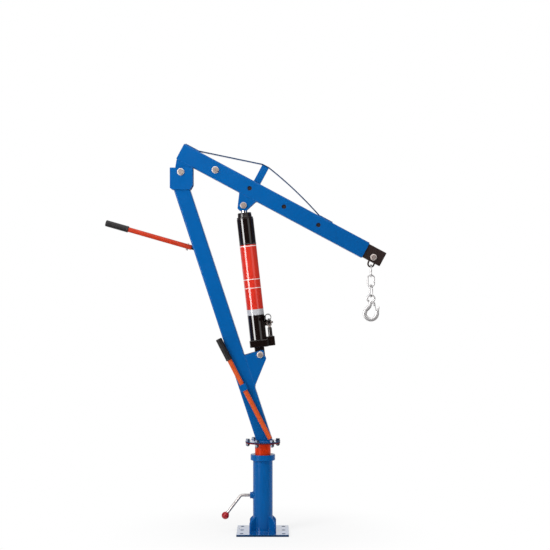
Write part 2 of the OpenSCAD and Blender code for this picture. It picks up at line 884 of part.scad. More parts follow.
// rod, piston, and an eye that runs between the boom's ram lugs
module ram_rod() {
    color([0.85, 0.86, 0.88]) on_ram() {
        translate([0, 0, piston_w]) cylinder(d = rod_d, h = ram_len - piston_w);
        translate([0, 0, piston_w]) cylinder(d = bore_d - 2 * fit, h = 25);
        translate([0, 0, ram_len]) bar_y(17, 2 * rod_eye_half);
        translate([0, 0, ram_len]) bar_y(pivot_d / 2, 2 * rod_eye_half + 2);
    }
}

module pump_plunger() {
    color(zinc) on_ram() translate([pump_h, 0, 0]) {
        translate([0, 0, plunger_low]) cylinder(r = plunger_r, h = plunger_top - plunger_low);
        translate([0, 0, plunger_top - 1]) cylinder(r = plunger_r + 4, h = 2.5);
        for (side = [-1, 1])
            translate([side * (rocker_t / 2 + 3), 0, 0]) {
                translate([-2, -6, plunger_top + 1]) cube([4, 12, pump_pin_w - plunger_top - 1]);
                translate([0, 0, pump_pin_w]) rotate([0, 90, 0])
                    cylinder(r = 6, h = 4, center = true);
            }
        translate([0, 0, pump_pin_w]) rotate([0, 90, 0])
            cylinder(r = pump_pin_r, h = rocker_t + 18, center = true);
    }
}

// handle socket with a web below it, on the fulcrum pin and on the plunger's pin
module pump_rocker() {
    slot = 2.4;
    color(black) on_ram() difference() {
        union() {
            translate([socket_h, socket_back, socket_w]) rotate([90, 0, 0])
                cylinder(d = socket_d, h = socket_len);
            translate([pump_h, 0, 0]) rotate([0, 0, 90]) across(rocker_t) polygon([
                [-9, pump_pin_w - 5],
                [12, pump_pin_w - 5],
                [fulcrum_y, pump_pin_w - 8],
                [fulcrum_y + 8, pump_pin_w],
                [fulcrum_y + 5, pump_pin_w + 6],
                [socket_back, socket_w - 6],
                [-12, socket_w - 6]
            ]);
            translate([pump_h, fulcrum_y, pump_pin_w]) rotate([0, 90, 0])
                cylinder(r = pump_pin_r + 1, h = rocker_t + 22, center = true);
        }
        translate([socket_h, socket_back + cut, socket_w]) rotate([90, 0, 0])
            cylinder(d = socket_d - 5, h = socket_len + 2 * cut);
        translate([pump_h, 0, pump_pin_w]) rotate([0, 90, 0])
            for (side = [-1, 1])
                translate([0, side * slot, 0])
                    cylinder(r = pump_pin_r + fit, h = rocker_t + cut, center = true);
        translate([pump_h - rocker_t, -slot, pump_pin_w - pump_pin_r - fit])
            cube([2 * rocker_t, 2 * slot, 2 * (pump_pin_r + fit)]);
    }
}

base_plate();
post_tube();
post_collar();
post_gussets();
lock_nut();
lock_lever_rod();
lock_lever_ball();
spigot();
spigot_flange();
mast_foot_plate();
flange_bolts();
mast_tube();
mast_cheeks();
ram_bracket();
boom_pivot_bolt();
ram_lower_bolt();
push_handle_socket();
push_handle_tube();
push_handle_grip();
push_handle_pin();
stowage_loop();
stowed_handle_tube();
stowed_handle_grip();
boom_tube();
boom_pivot_lugs();
boom_ram_lugs();
boom_strut();
tension_strap();
boom_lock_bolt();
ram_upper_bolt();
extension_tube();
chain_bolt();
hanger_link();
chain_link_upper();
chain_link_middle();
chain_link_lower();
load_hook();
hook_latch();
ram_base();
ram_barrel();
ram_head_nut();
pump_bracket();
ram_rod();
pump_plunger();
pump_rocker();
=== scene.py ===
# %% [markdown]
# # A hydraulic swivel crane, dressed
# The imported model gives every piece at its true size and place, one mesh for each, sorted by the
# body that carries it. This lesson gives those pieces their real finish: rounded folds on the
# steel tubes, chamfered bolt heads, weld beads, rubber grips, a forged hook and enamel paint.
# Nothing is moved or resized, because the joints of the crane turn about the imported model's axes.

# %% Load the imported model
import json
import math

import bmesh
import bpy
from mathutils import Matrix, Vector


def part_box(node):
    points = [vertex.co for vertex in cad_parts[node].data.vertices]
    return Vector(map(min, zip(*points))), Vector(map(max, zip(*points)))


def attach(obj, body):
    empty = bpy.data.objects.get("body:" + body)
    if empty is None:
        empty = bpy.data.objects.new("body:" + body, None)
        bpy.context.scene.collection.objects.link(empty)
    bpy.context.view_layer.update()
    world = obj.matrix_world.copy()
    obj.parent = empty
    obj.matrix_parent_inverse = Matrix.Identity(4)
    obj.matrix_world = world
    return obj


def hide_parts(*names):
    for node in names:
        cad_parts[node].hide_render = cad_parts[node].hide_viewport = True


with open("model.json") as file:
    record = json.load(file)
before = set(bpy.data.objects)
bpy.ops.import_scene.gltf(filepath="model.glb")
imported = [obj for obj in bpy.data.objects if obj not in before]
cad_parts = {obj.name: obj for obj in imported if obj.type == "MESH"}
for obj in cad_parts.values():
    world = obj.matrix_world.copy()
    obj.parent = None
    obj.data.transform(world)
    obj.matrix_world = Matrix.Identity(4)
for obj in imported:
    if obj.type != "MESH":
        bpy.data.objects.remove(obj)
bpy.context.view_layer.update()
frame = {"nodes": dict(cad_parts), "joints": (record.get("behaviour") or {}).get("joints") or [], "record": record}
MM = 0.001
joints = {joint["name"]: joint for joint in frame["joints"]}

# %% [markdown]
# ## The camera
# A long lens at chest height keeps the post and the mast free of strong perspective. The camera
# looks level along +Y from about five metres, so that uprights stay upright in the picture.

# %% Camera
LENS, SENSOR = 88.0, 36.0
CAMERA_PLACE = (0.047, -5.2, 0.994)
camera_data = bpy.data.cameras.new("studio_camera")
camera_data.lens = LENS
camera_data.sensor_width = SENSOR
camera = bpy.data.objects.new("studio_camera", camera_data)
camera.location = CAMERA_PLACE
camera.rotation_euler = (math.radians(90), 0, 0)
bpy.context.scene.collection.objects.link(camera)
bpy.context.scene.camera = camera
bpy.context.scene.view_settings.view_transform = "Standard"

# %% [markdown]
# ## Local frames
# The boom droops, the mast leans and the ram leans the other way, so their details are easiest to
# place in frames of their own. Each frame comes from a joint of the record: X runs along the boom
# or the mast, Z runs up the ram. A size is then the span of a node's points in such a frame.

# %% Frames along the boom, the ram, the mast and the handles
WORLD = Matrix.Identity(4)


def frame_at(origin, x_axis, z_axis):
    """A matrix whose X and Z point along the given directions, with its origin at a point."""
    x = Vector(x_axis).normalized()
    z = Vector(z_axis).normalized()
    matrix = Matrix((x, z.cross(x), z)).transposed().to_4x4()
    matrix.translation = Vector(origin)
    return matrix


def span(node, matrix=WORLD):
    """Lowest and highest corner of a node in a local frame."""
    inverse = matrix.inverted()
    points = [inverse @ v.co for v in frame["nodes"][node].data.vertices]
    low = Vector([min(p[i] for p in points) for i in range(3)])
    high = Vector([max(p[i] for p in points) for i in range(3)])
    return low, high


def upright(direction):
    """The direction square to the given one in the XZ plane, turned a quarter towards +Z."""
    return Vector((-direction[2], 0, direction[0]))


def axis_frame(node, direction):
    """A frame with Z along a round node's axis and its origin at the node's near end."""
    matrix = frame_at((0, 0, 0), Vector((direction[2], 0, -direction[0])), direction)
    low, high = span(node, matrix)
    centre = Vector(((low.x + high.x) / 2, (low.y + high.y) / 2, low.z))
    return matrix @ Matrix.Translation(centre), high - low


boom_ahead = Vector(joints["boom_extend"]["axis"])
boom = frame_at(joints["boom_lift"]["pos_m"], boom_ahead, upright(boom_ahead))
ram_up = Vector(joints["ram_stroke"]["axis"])
ram = frame_at(joints["ram_swing"]["pos_m"], -upright(ram_up), ram_up)

mast_points = [v.co for v in frame["nodes"]["mast_tube"].data.vertices]
foot_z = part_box("mast_tube")[0].z
foot_points = [p for p in mast_points if p.z < foot_z + 1e-4]
foot_left = min(foot_points, key=lambda p: p.x)
mast_left = min(mast_points, key=lambda p: p.x)
mast_up = (Vector((mast_left.x, 0, mast_left.z)) - Vector((foot_left.x, 0, foot_left.z))).normalized()
mast = frame_at((0, 0, foot_z), mast_up, upright(mast_up))
print("mast lean, degrees", round(math.degrees(math.atan2(-mast_up.x, mast_up.z)), 2))

# %% [markdown]
# ## Small mesh helpers
# Most pieces start in one of three ways. A turned piece is a profile spun about an axis. A plate is
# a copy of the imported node, with its loose triangles merged into clean faces. A bar follows a path.
# Every piece is then given rounded edges, because a real edge always catches a line of light.

# %% Profiles, paths and meshes
SMOOTH_ANGLE = math.radians(34)
STRAIGHT = math.radians(89.9)


def arc(centre, radius, start, end, steps):
    """Points on an arc in a plane, angles in degrees, both ends included."""
    turns = [math.radians(start + (end - start) * i / steps) for i in range(steps + 1)]
    return [(centre[0] + radius * math.cos(t), centre[1] + radius * math.sin(t)) for t in turns]


def filleted(points, radius, steps):
    """A path through points whose inner corners are rounded with the given radius."""
    points = [Vector(p) for p in points]
    path = [points[0]]
    for before, corner, after in zip(points, points[1:], points[2:]):
        a, b = (before - corner).normalized(), (after - corner).normalized()
        half = a.angle(b) / 2
        if half > STRAIGHT:
            path.append(corner)
            continue
        shorter = min((before - corner).length, (after - corner).length)
        reach = min(radius / math.tan(half), 0.49 * shorter)
        centre = corner + (a + b).normalized() * (reach / math.cos(half))
        start, end = corner + a * reach - centre, corner + b * reach - centre
        bent = [start.normalized().slerp(end.normalized(), i / steps) for i in range(steps + 1)]
        path += [centre + spoke * start.length for spoke in bent]
    return path + [points[-1]]


def headings(path):
    """The direction of a path at each of its points."""
    last = len(path) - 1
    return [(path[min(i + 1, last)] - path[max(i - 1, 0)]).normalized() for i in range(last + 1)]


def round_section(centre, side, up, radius, sides):
    """A circle about a point of a bar, in the plane of two directions."""
    turns = [2 * math.pi * k / sides for k in range(sides)]
    return [centre + (side * math.cos(t) + up * math.sin(t)) * radius for t in turns]


def eased(points, steps):
    """A smooth curve through points of any number of values, by the Catmull-Rom rule."""
    rows = [points[0], *points, points[-1]]
    out = []
    for i in range(len(points) - 1):
        a, b, c, d = rows[i:i + 4]
        for k in range(steps):
            t = k / steps
            out.append(tuple(
                0.5 * (2 * q + (r - p) * t + (2 * p - 5 * q + 4 * r - s) * t**2
                       + (3 * q - p - 3 * r + s) * t**3)
                for p, q, r, s in zip(a, b, c, d)
            ))
    return out + [tuple(points[-1])]


def spun(profile, segments=96, closed=False):
    """A mesh turned about Z from points of radius and height. A radius of zero closes a pole."""
    bm = bmesh.new()
    rings = []
    for radius, height in profile:
        if radius < 1e-7:
            rings.append([bm.verts.new((0, 0, height))] * segments)
            continue
        turns = [2 * math.pi * i / segments for i in range(segments)]
        points = [(radius * math.cos(t), radius * math.sin(t), height) for t in turns]
        rings.append([bm.verts.new(point) for point in points])
    pairs = list(zip(rings, rings[1:]))
    if closed:
        pairs.append((rings[-1], rings[0]))
    for low, high in pairs:
        for i in range(segments):
            j = (i + 1) % segments
            corners = list(dict.fromkeys((low[i], low[j], high[j], high[i])))
            if len(corners) > 2:
                bm.faces.new(corners)
    return bm


def lofted(rings, capped=True):
    """A mesh skinned over rings of points that all have the same count."""
    bm = bmesh.new()
    made = [[bm.verts.new(p) for p in ring] for ring in rings]
    count = len(made[0])
    for low, high in zip(made, made[1:]):
        for i in range(count):
            bm.faces.new((low[i], low[(i + 1) % count], high[(i + 1) % count], high[i]))
    if capped:
        bm.faces.new(made[0][::-1])
        bm.faces.new(made[-1])
    return bm


def clean_copy(node):
    """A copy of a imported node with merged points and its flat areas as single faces."""
    bm = bmesh.new()
    bm.from_mesh(frame["nodes"][node].data)
    bmesh.ops.remove_doubles(bm, verts=bm.verts, dist=3e-6)
    bmesh.ops.dissolve_limit(bm, angle_limit=math.radians(0.8), verts=bm.verts, edges=bm.edges)
    return bm


def raised(height):
    """A matrix that lifts a piece to a height."""
    return Matrix.Translation((0, 0, height))


def new_object(name, bm, matrix=WORLD):
    """Puts a mesh in the scene, with its place in its points and its faces pointing outwards."""
    bm.transform(matrix)
    bmesh.ops.recalc_face_normals(bm, faces=bm.faces)
    mesh = bpy.data.meshes.new(name)
    bm.to_mesh(mesh)
    bm.free()
    obj = bpy.data.objects.new(name, mesh)
    bpy.context.scene.collection.objects.link(obj)
    return obj


def apply_modifiers(obj):
    """Turns what the modifiers make into the object's plain mesh."""
    graph = bpy.context.evaluated_depsgraph_get()
    made = bpy.data.meshes.new_from_object(obj.evaluated_get(graph))
    obj.modifiers.clear()
    obj.data = made
    made.name = obj.name
    return obj


def round_edges(obj, width, segments=2, angle=30):
    """Rounds every sharp edge."""
    bevel = obj.modifiers.new("rounded", "BEVEL")
    bevel.width = width
    bevel.segments = segments
    bevel.limit_method = "ANGLE"
    bevel.angle_limit = math.radians(angle)
    bevel.use_clamp_overlap = False
    bevel.miter_outer = "MITER_ARC"
    return apply_modifiers(obj)


def shade(obj):
    """Smooth shading that stays crisp at real corners."""
    for face in obj.data.polygons:
        face.use_smooth = True
    obj.data.set_sharp_from_angle(angle=SMOOTH_ANGLE)
    weights = obj.modifiers.new("weighted", "WEIGHTED_NORMAL")
    weights.keep_sharp = True
    return apply_modifiers(obj)


print("helpers ready")

# %% [markdown]
# ## Node helpers
# Shader trees and geometry trees are built from the same short calls. The first adds a node, sets
# its options, and either links a socket into each named input or writes a plain value there. The
# others wrap the few nodes that every finish needs: coordinates, noise, a change of range, a blend.


# %% Add a node
def add(tree, kind, inputs=None, **options):
    """Adds a node, sets its options, and fills its inputs with links or values."""
    made = tree.nodes.new(kind)
    for key, value in options.items():
        setattr(made, key, value)
    for key, value in (inputs or {}).items():
        if isinstance(value, bpy.types.NodeSocket):
            tree.links.new(value, made.inputs[key])
        else:
            made.inputs[key].default_value = value
    return made


def feed(tree, target, **links):
    """Links outputs into the inputs of a node, named with underscores for spaces."""
    for name, output in links.items():
        tree.links.new(output, target.inputs[name.replace("_", " ")])


def math_node(tree, operation, *values, clamp=False):
    """A math node of one operation, which returns its output."""
    inputs = dict(enumerate(values))
    return add(tree, "ShaderNodeMath", inputs, operation=operation, use_clamp=clamp).outputs[0]


def coordinates(tree, kind="Object"):
    """Coordinates that stay with the metal when the crane moves."""
    return add(tree, "ShaderNodeTexCoord").outputs[kind]


def noise(tree, place, scale, detail=2.0, roughness=0.5):
    """A cloud of noise around one half."""
    inputs = {"Vector": place, "Scale": scale, "Detail": detail, "Roughness": roughness}
    return add(tree, "ShaderNodeTexNoise", inputs).outputs[0]


def remap(tree, value, start, end, low=0.0, high=1.0, kind="LINEAR"):
    """A change from low to high while the value runs from start to end."""
    inputs = {"Value": value, "From Min": start, "From Max": end, "To Min": low, "To Max": high}
    return add(tree, "ShaderNodeMapRange", inputs, interpolation_type=kind).outputs[0]


def projected(tree, direction, axis):
    """How far a direction runs along an axis."""
    made = add(tree, "ShaderNodeVectorMath", {0: direction, 1: axis}, operation="DOT_PRODUCT")
    return made.outputs["Value"]


def blend_colours(tree, mask, below, above):
    """The second colour laid over the first where the mask is one."""
    return add(tree, "ShaderNodeMix", {0: mask, 6: below, 7: above}, data_type="RGBA").outputs[2]


def bump(tree, shader, height, strength, distance):
    """A fine relief of the surface."""
    made = add(tree, "ShaderNodeBump", {"Height": height, "Strength": strength, "Distance": distance})
    feed(tree, shader, Normal=made.outputs[0])


def socketed(tree, inputs, outputs):
    """Gives a tree its named inputs, as (name, type, default), and its outputs, as (name, type)."""
    for name, kind, default in inputs:
        made = tree.interface.new_socket(name, in_out="INPUT", socket_type=kind)
        if default is not None:
            made.default_value = default
    for name, kind in outputs:
        tree.interface.new_socket(name, in_out="OUTPUT", socket_type=kind)
    return tree.nodes.new("NodeGroupInput"), tree.nodes.new("NodeGroupOutput")


FLOAT, COLOUR = "NodeSocketFloat", "NodeSocketColor"
SURFACE = [("Colour", COLOUR), ("Roughness", FLOAT), ("Height", FLOAT)]
MASK = [("Mask", FLOAT)]

# %% [markdown]
# ## Finishes shared by several materials
# Four effects turn up on more than one finish. A film of enamel is never quite even: its tone
# drifts over a hand's width and its surface has a fine orange peel. Paint thins and polishes along
# edges. A little dust settles on what faces up. Bare metal has spangle, stains and fine pits. Each
# effect is one node group that reads Object coordinates, so it moves with the crane.


# %% Effect: a coat of enamel
def film_group():
    """A film whose tone drifts, whose gloss is smeared and whose surface has a fine peel."""
    tree = bpy.data.node_groups.new("enamel_film", "ShaderNodeTree")
    inputs = [("Colour", COLOUR, (0.5, 0.5, 0.5, 1)), ("Deep Colour", COLOUR, (0.4, 0.4, 0.4, 1)),
              ("Roughness", FLOAT, 0.3), ("Drift Scale", FLOAT, 5.0), ("Peel Scale", FLOAT, 420.0)]
    source, sink = socketed(tree, inputs, SURFACE)
    given, place = source.outputs, coordinates(tree)
    tone = remap(tree, noise(tree, place, given["Drift Scale"], 4.0, 0.6), 0.3, 0.7)
    smear = noise(tree, place, SMEAR_SCALE, 5.0)
    uneven = math_node(tree, "MULTIPLY_ADD", smear, SMEAR, -SMEAR / 2)
    feed(tree, sink, Colour=blend_colours(tree, tone, given["Colour"], given["Deep Colour"]),
         Roughness=math_node(tree, "ADD", given["Roughness"], uneven, clamp=True),
         Height=noise(tree, place, given["Peel Scale"], 2.0, 0.45))
    return tree


SMEAR_SCALE, SMEAR = 28.0, 0.16
enamel_film = film_group()


# %% Effect: rubbed edges
def edge_group():
    """A mask of edges, found where a rounded normal leaves the true one, and broken into patches."""
    tree = bpy.data.node_groups.new("rubbed_edges", "ShaderNodeTree")
    source, sink = socketed(tree, [("Width", FLOAT, 0.0012), ("Amount", FLOAT, 0.6)], MASK)
    soft = add(tree, "ShaderNodeBevel", {"Radius": source.outputs["Width"]}, samples=4)
    flat = add(tree, "ShaderNodeNewGeometry").outputs["Normal"]
    turned = math_node(tree, "SUBTRACT", 1.0, projected(tree, soft.outputs[0], flat))
    strong = math_node(tree, "MULTIPLY", turned, EDGE_GAIN, clamp=True)
    patches = remap(tree, noise(tree, coordinates(tree), RUB_SCALE, 4.0), 0.35, 0.65)
    worn = math_node(tree, "MULTIPLY", strong, patches)
    feed(tree, sink, Mask=math_node(tree, "MULTIPLY", worn, source.outputs["Amount"], clamp=True))
    return tree


EDGE_GAIN, RUB_SCALE = 9.0, 60.0
rubbed_edges = edge_group()


# %% Effect: settled dust
def dust_group():
    """A mask of dust in clouds on what faces up."""
    tree = bpy.data.node_groups.new("settled_dust", "ShaderNodeTree")
    source, sink = socketed(tree, [("Amount", FLOAT, 0.1)], MASK)
    facing = add(tree, "ShaderNodeSeparateXYZ", {0: coordinates(tree, "Normal")}).outputs["Z"]
    clouds = remap(tree, noise(tree, coordinates(tree), DUST_SCALE, 6.0, 0.7), 0.4, 0.75)
    lying = math_node(tree, "MULTIPLY", remap(tree, facing, 0.2, 0.95), clouds)
    feed(tree, sink, Mask=math_node(tree, "MULTIPLY", lying, source.outputs["Amount"], clamp=True))
    return tree


DUST_SCALE = 45.0
settled_dust = dust_group()


# %% Effect: grain of plated or forged metal
def grain_group():
    """Bare metal with a spangle in its gloss, rougher stains and fine pits."""
    tree = bpy.data.node_groups.new("metal_grain", "ShaderNodeTree")
    inputs = [("Colour", COLOUR, (0.7, 0.7, 0.7, 1)), ("Stain", COLOUR, (0.5, 0.5, 0.5, 1)),
              ("Roughness", FLOAT, 0.3), ("Scale", FLOAT, 90.0), ("Stain Amount", FLOAT, 0.5)]
    source, sink = socketed(tree, inputs, SURFACE)
    given, place = source.outputs, coordinates(tree)
    clouds = remap(tree, noise(tree, place, STAIN_SCALE, 6.0, 0.65), 0.42, 0.72)
    stain = math_node(tree, "MULTIPLY", clouds, given["Stain Amount"], clamp=True)
    cells = add(tree, "ShaderNodeTexVoronoi", {"Vector": place, "Scale": given["Scale"]})
    spangle = add(tree, "ShaderNodeSeparateColor", {0: cells.outputs["Color"]}).outputs[0]
    uneven = math_node(tree, "MULTIPLY_ADD", spangle, SPANGLE, -SPANGLE / 2)
    rough = math_node(tree, "ADD", given["Roughness"], uneven)
    feed(tree, sink, Colour=blend_colours(tree, stain, given["Colour"], given["Stain"]),
         Roughness=math_node(tree, "MULTIPLY_ADD", stain, 0.15, rough, clamp=True),
         Height=noise(tree, place, PIT_SCALE, 3.0))
    return tree


STAIN_SCALE, PIT_SCALE, SPANGLE = 38.0, 900.0, 0.12
metal_grain = grain_group()

# %% [markdown]
# ## The finishes
# Colours are written as the eye reads them, from 0 to 255, and turned into the linear values that
# the shader wants. The enamel has a low specular level: a thick workshop paint hardly mirrors the
# room when you look straight at it, but its edges and its floor plate, seen at a glancing angle,
# turn pale. The ram keeps a wet black gloss, so that a tall lamp draws one sharp line down it.


# %% Colours and a base for each material
def tint(red, green, blue):
    """Linear colour from values of 0 to 255."""
    return tuple(
        v / 12.92 if v <= 0.04045 else ((v + 0.055) / 1.055) ** 2.4
        for v in (red / 255, green / 255, blue / 255)
    ) + (1.0,)


def new_material(name):
    """An empty node material and its shader."""
    material = bpy.data.materials.new(name)
    material.use_nodes = True
    return material, material.node_tree, material.node_tree.nodes["Principled BSDF"]


def set_shader(shader, **values):
    """Writes plain values on the shader, with spaces for underscores in the socket names."""
    for key, value in values.items():
        shader.inputs[key.replace("_", " ")].default_value = value


def group_in(tree, group, **values):
    """Places a shared effect in a material."""
    inputs = {key.replace("_", " "): value for key, value in values.items()}
    return add(tree, "ShaderNodeGroup", inputs, node_tree=group)


# %% Painted finishes
ALONG_Y, ALONG_Z = Vector((0, 1, 0)), Vector((0, 0, 1))
DUST, RUB_WIDTH, PEEL_DEPTH = tint(176, 176, 172), 0.0011, 0.0004


def looking_along(tree, axis, flip=False):
    """One where a surface looks along an axis, either way. Flipped, one where it looks across."""
    part = math_node(tree, "ABSOLUTE", projected(tree, coordinates(tree, "Normal"), axis))
    return remap(tree, part, 0.45, 0.75, *((1.0, 0.0) if flip else (0.0, 1.0)))


def painted(name, colours, roughness, specular, wear=0.35, dust=0.08, peel=0.1, coat=0.0,
            peel_scale=420.0, cut=None):
    """An enamel of two close tones over a paler one that shows where the edges are rubbed.

    A cut is a colour, an axis and a flip: painted shade on faces looking along the axis, across it if flipped.
    """
    material, tree, shader = new_material(name)
    colour, deep, under = (tint(*values) for values in colours)
    film = group_in(tree, enamel_film, Colour=colour, Deep_Colour=deep, Roughness=roughness,
                    Peel_Scale=peel_scale)
    rubbed = group_in(tree, rubbed_edges, Width=RUB_WIDTH, Amount=wear)
    dusty = group_in(tree, settled_dust, Amount=dust)
    base = film.outputs["Colour"]
    set_shader(shader, Specular_IOR_Level=specular, Coat_Weight=coat, Coat_Roughness=0.04)
    # The cut is painted shade: its colour darkens the faces that look along the axis, across it if flipped.
    if cut:
        edge = looking_along(tree, *cut[1:])
        face = math_node(tree, "SUBTRACT", 1.0, edge)
        base = blend_colours(tree, edge, base, tint(*cut[0]))
        feed(tree, shader, Coat_Weight=math_node(tree, "MULTIPLY", face, coat),
             Specular_IOR_Level=math_node(tree, "MULTIPLY", face, specular))
    base = blend_colours(tree, rubbed.outputs[0], base, under)
    lying = dusty.outputs[0]
    rough = math_node(tree, "MULTIPLY_ADD", lying, 0.4, film.outputs["Roughness"], clamp=True)
    feed(tree, shader, Base_Color=blend_colours(tree, lying, base, DUST), Roughness=rough)
    bump(tree, shader, film.outputs["Height"], peel, PEEL_DEPTH)
    return material


# The second blue is painted shade, laid on the base plate's upright faces and on the strap's faces along Y.
BLUES, SHADED_BLUE = [(0, 92, 164), (0, 87, 157), (30, 114, 178)], (8, 50, 86)
blue_enamel = painted("blue_enamel", BLUES, 0.24, 0.14)
plate_enamel = painted("plate_enamel", BLUES, 0.14, 0.5, coat=0.9, peel=0.03, wear=0.2,
                       cut=(SHADED_BLUE, ALONG_Z, True))
strap_enamel = painted("strap_enamel", BLUES, 0.24, 0.14, wear=0.2, cut=(SHADED_BLUE, ALONG_Y))
orange_enamel = painted("orange_enamel", [(188, 50, 16), (180, 45, 12), (214, 100, 66)], 0.34, 0.2,
                        peel=0.04)
amber_enamel = painted("amber_enamel", [(216, 90, 36), (208, 82, 30), (236, 136, 92)], 0.34, 0.2,
                       peel=0.04)
spigot_enamel = painted("spigot_enamel", [(240, 62, 10), (228, 54, 8), (240, 122, 86)], 0.3, 0.1,
                        wear=0.25)
# The deep red on the flange's upright faces is painted shade.
flange_enamel = painted("flange_enamel", [(176, 44, 24), (160, 38, 20), (206, 104, 84)], 0.2, 0.4,
                        wear=0.2, cut=((104, 34, 34), ALONG_Z, True))
slide_black = painted("slide_black", [(50, 36, 34), (43, 30, 28), (104, 92, 88)], 0.36, 0.25,
                      wear=0.5, dust=0.1)
gloss_black = painted("gloss_black", [(26, 16, 14), (21, 12, 11), (70, 58, 56)], 0.07, 0.5,
                      wear=0.25, dust=0.05, peel=0.02, coat=0.3)
cast_black = painted("cast_black", [(32, 22, 20), (26, 17, 16), (84, 70, 66)], 0.26, 0.45,
                     wear=0.4, peel=0.35, peel_scale=260.0)


# %% Metals
def metal(name, colour, stain, roughness, scale, stain_amount=0.4, texture=0.08, metallic=1.0,
          wear=0.5):
    """A plated or forged metal with spangle, stains and a fine pitting, polished along its edges."""
    material, tree, shader = new_material(name)
    grain = group_in(tree, metal_grain, Colour=tint(*colour), Stain=tint(*stain), Roughness=roughness,
                     Scale=scale, Stain_Amount=stain_amount)
    base = grain.outputs["Colour"]
    if wear:
        rubbed = group_in(tree, rubbed_edges, Width=0.0008, Amount=wear)
        base = blend_colours(tree, rubbed.outputs[0], base, tint(226, 226, 224))
    feed(tree, shader, Base_Color=base, Roughness=grain.outputs["Roughness"])
    bump(tree, shader, grain.outputs["Height"], texture, 0.0003)
    set_shader(shader, Metallic=metallic)
    return material


bright_zinc = metal("bright_zinc", (240, 232, 226), (190, 180, 174), 0.5, 240.0, metallic=0.5, wear=0)
chain_zinc = metal("chain_zinc", (232, 230, 230), (180, 176, 174), 0.48, 420.0, stain_amount=0.25,
                   texture=0.05, wear=0)
lever_zinc = metal("lever_zinc", (190, 184, 182), (150, 144, 142), 0.44, 300.0, texture=0.06, wear=0)
dull_bolt = metal("dull_bolt", (178, 162, 156), (138, 122, 116), 0.4, 300.0, texture=0.15, metallic=0.7)
gun_bolt = metal("gun_bolt", (108, 114, 128), (80, 84, 94), 0.4, 300.0, texture=0.12)
rod_chrome = metal("rod_chrome", (222, 223, 226), (196, 196, 198), 0.12, 30.0, stain_amount=0.15,
                   texture=0.01)
raw_black = metal("raw_black", (70, 60, 56), (50, 43, 40), 0.4, 200.0, texture=0.2)


# %% Rubber and moulded plastic
def rubber(name, colour, worn, roughness, specular):
    """A moulded rubber: fine grain, with a rubbed bloom in random patches."""
    material, tree, shader = new_material(name)
    place = coordinates(tree)
    bloom = noise(tree, place, 70.0, 5.0, 0.65)
    patch = remap(tree, bloom, 0.42, 0.78, high=0.6)
    rough = math_node(tree, "MULTIPLY_ADD", bloom, 0.2, roughness - 0.1, clamp=True)
    base = blend_colours(tree, patch, tint(*colour), tint(*worn))
    feed(tree, shader, Base_Color=base, Roughness=rough)
    bump(tree, shader, noise(tree, place, 1400.0, 3.0), 0.25, 0.0002)
    set_shader(shader, Specular_IOR_Level=specular)
    return material


grip_rubber = rubber("grip_rubber", (26, 22, 24), (40, 36, 37), 0.42, 0.3)
ball_plastic = rubber("ball_plastic", (166, 14, 28), (148, 8, 22), 0.2, 0.4)

# %% [markdown]
# ## The film on the ram
# The barrel wears a printed film: an orange-red field with a pale border, two plain rules across it
# and a silver band below. It is a thin sleeve a tenth of a millimetre proud, coloured by the height
# along the ram, so its stripes follow the barrel however the ram swings.

# %% Printed film
RAM_FIELD = (0.1756, 0.4255)
RULES = ((0.2580, 0.0026), (0.2915, 0.0026), (0.4205, 0.0030))


def band(tree, value, low, high):
    """One between two heights, zero elsewhere."""
    above = math_node(tree, "GREATER_THAN", value, low)
    below = math_node(tree, "LESS_THAN", value, high)
    return math_node(tree, "MULTIPLY", above, below)


def along(tree, matrix):
    """Height above a frame's origin along its Z, from Object coordinates."""
    axis = matrix.col[2].xyz
    return math_node(tree, "SUBTRACT", projected(tree, coordinates(tree), axis),
                     matrix.translation.dot(axis))


def printed_film():
    """The glossy film with its field, border, rules and silver band."""
    material, tree, shader = new_material("printed_film")
    height = along(tree, ram)
    film = group_in(tree, enamel_film, Colour=tint(226, 58, 40), Deep_Colour=tint(214, 48, 34),
                    Roughness=0.12, Drift_Scale=9.0)
    field = band(tree, height, *RAM_FIELD)
    base = blend_colours(tree, field, tint(196, 196, 200), film.outputs["Colour"])
    for centre, width in RULES:
        rule = band(tree, height, centre - width / 2, centre + width / 2)
        base = blend_colours(tree, rule, base, tint(250, 236, 232))
    feed(tree, shader, Base_Color=base, Roughness=film.outputs["Roughness"])
    bump(tree, shader, film.outputs["Height"], 0.03, 0.0003)
    set_shader(shader, Specular_IOR_Level=0.5, Coat_Weight=0.2, Coat_Roughness=0.04)
    return material


decal_film = printed_film()
print("materials", len(bpy.data.materials))

# %% [markdown]
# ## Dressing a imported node
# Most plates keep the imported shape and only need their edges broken. The copy is made a piece of
# its own, hides the node it stands for, and rides on the same body.

# %% Finish a piece, or dress a node
home = {node: body for body, nodes in frame["record"]["behaviour"]["bodies"].items() for node in nodes}
FINISH = {
    "blue": (blue_enamel, "blue_paint"), "plate": (plate_enamel, "blue_paint"),
    "strap": (strap_enamel, "blue_paint"), "orange": (orange_enamel, "orange_paint"),
    "amber": (amber_enamel, "orange_paint"), "spigot": (spigot_enamel, "orange_paint"),
    "flange": (flange_enamel, "orange_paint"), "decal": (decal_film, "orange_paint"),
    "slide": (slide_black, "black_paint"), "gloss": (gloss_black, "black_paint"),
    "cast": (cast_black, "black_paint"), "zinc": (bright_zinc, "zinc"), "lever": (lever_zinc, "zinc"),
    "dull": (dull_bolt, "zinc"), "gun": (gun_bolt, "zinc"), "raw": (raw_black, "zinc"),
    "chain": (chain_zinc, "chain_steel"), "chrome": (rod_chrome, "chrome_rod"),
    "rubber": (grip_rubber, "rubber_grip"), "red": (ball_plastic, "red_ball"),
}


def finish_piece(obj, finish, *nodes, body=None):
    """Paints a piece, smooths it, and lets it ride with the nodes it stands for, or on a body."""
    material, slot = FINISH[finish]
    obj.data.materials.clear()
    obj.data.materials.append(material)
    shade(obj)
    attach(obj, body or home[nodes[0]])
    if nodes:
        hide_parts(*nodes)
    return obj


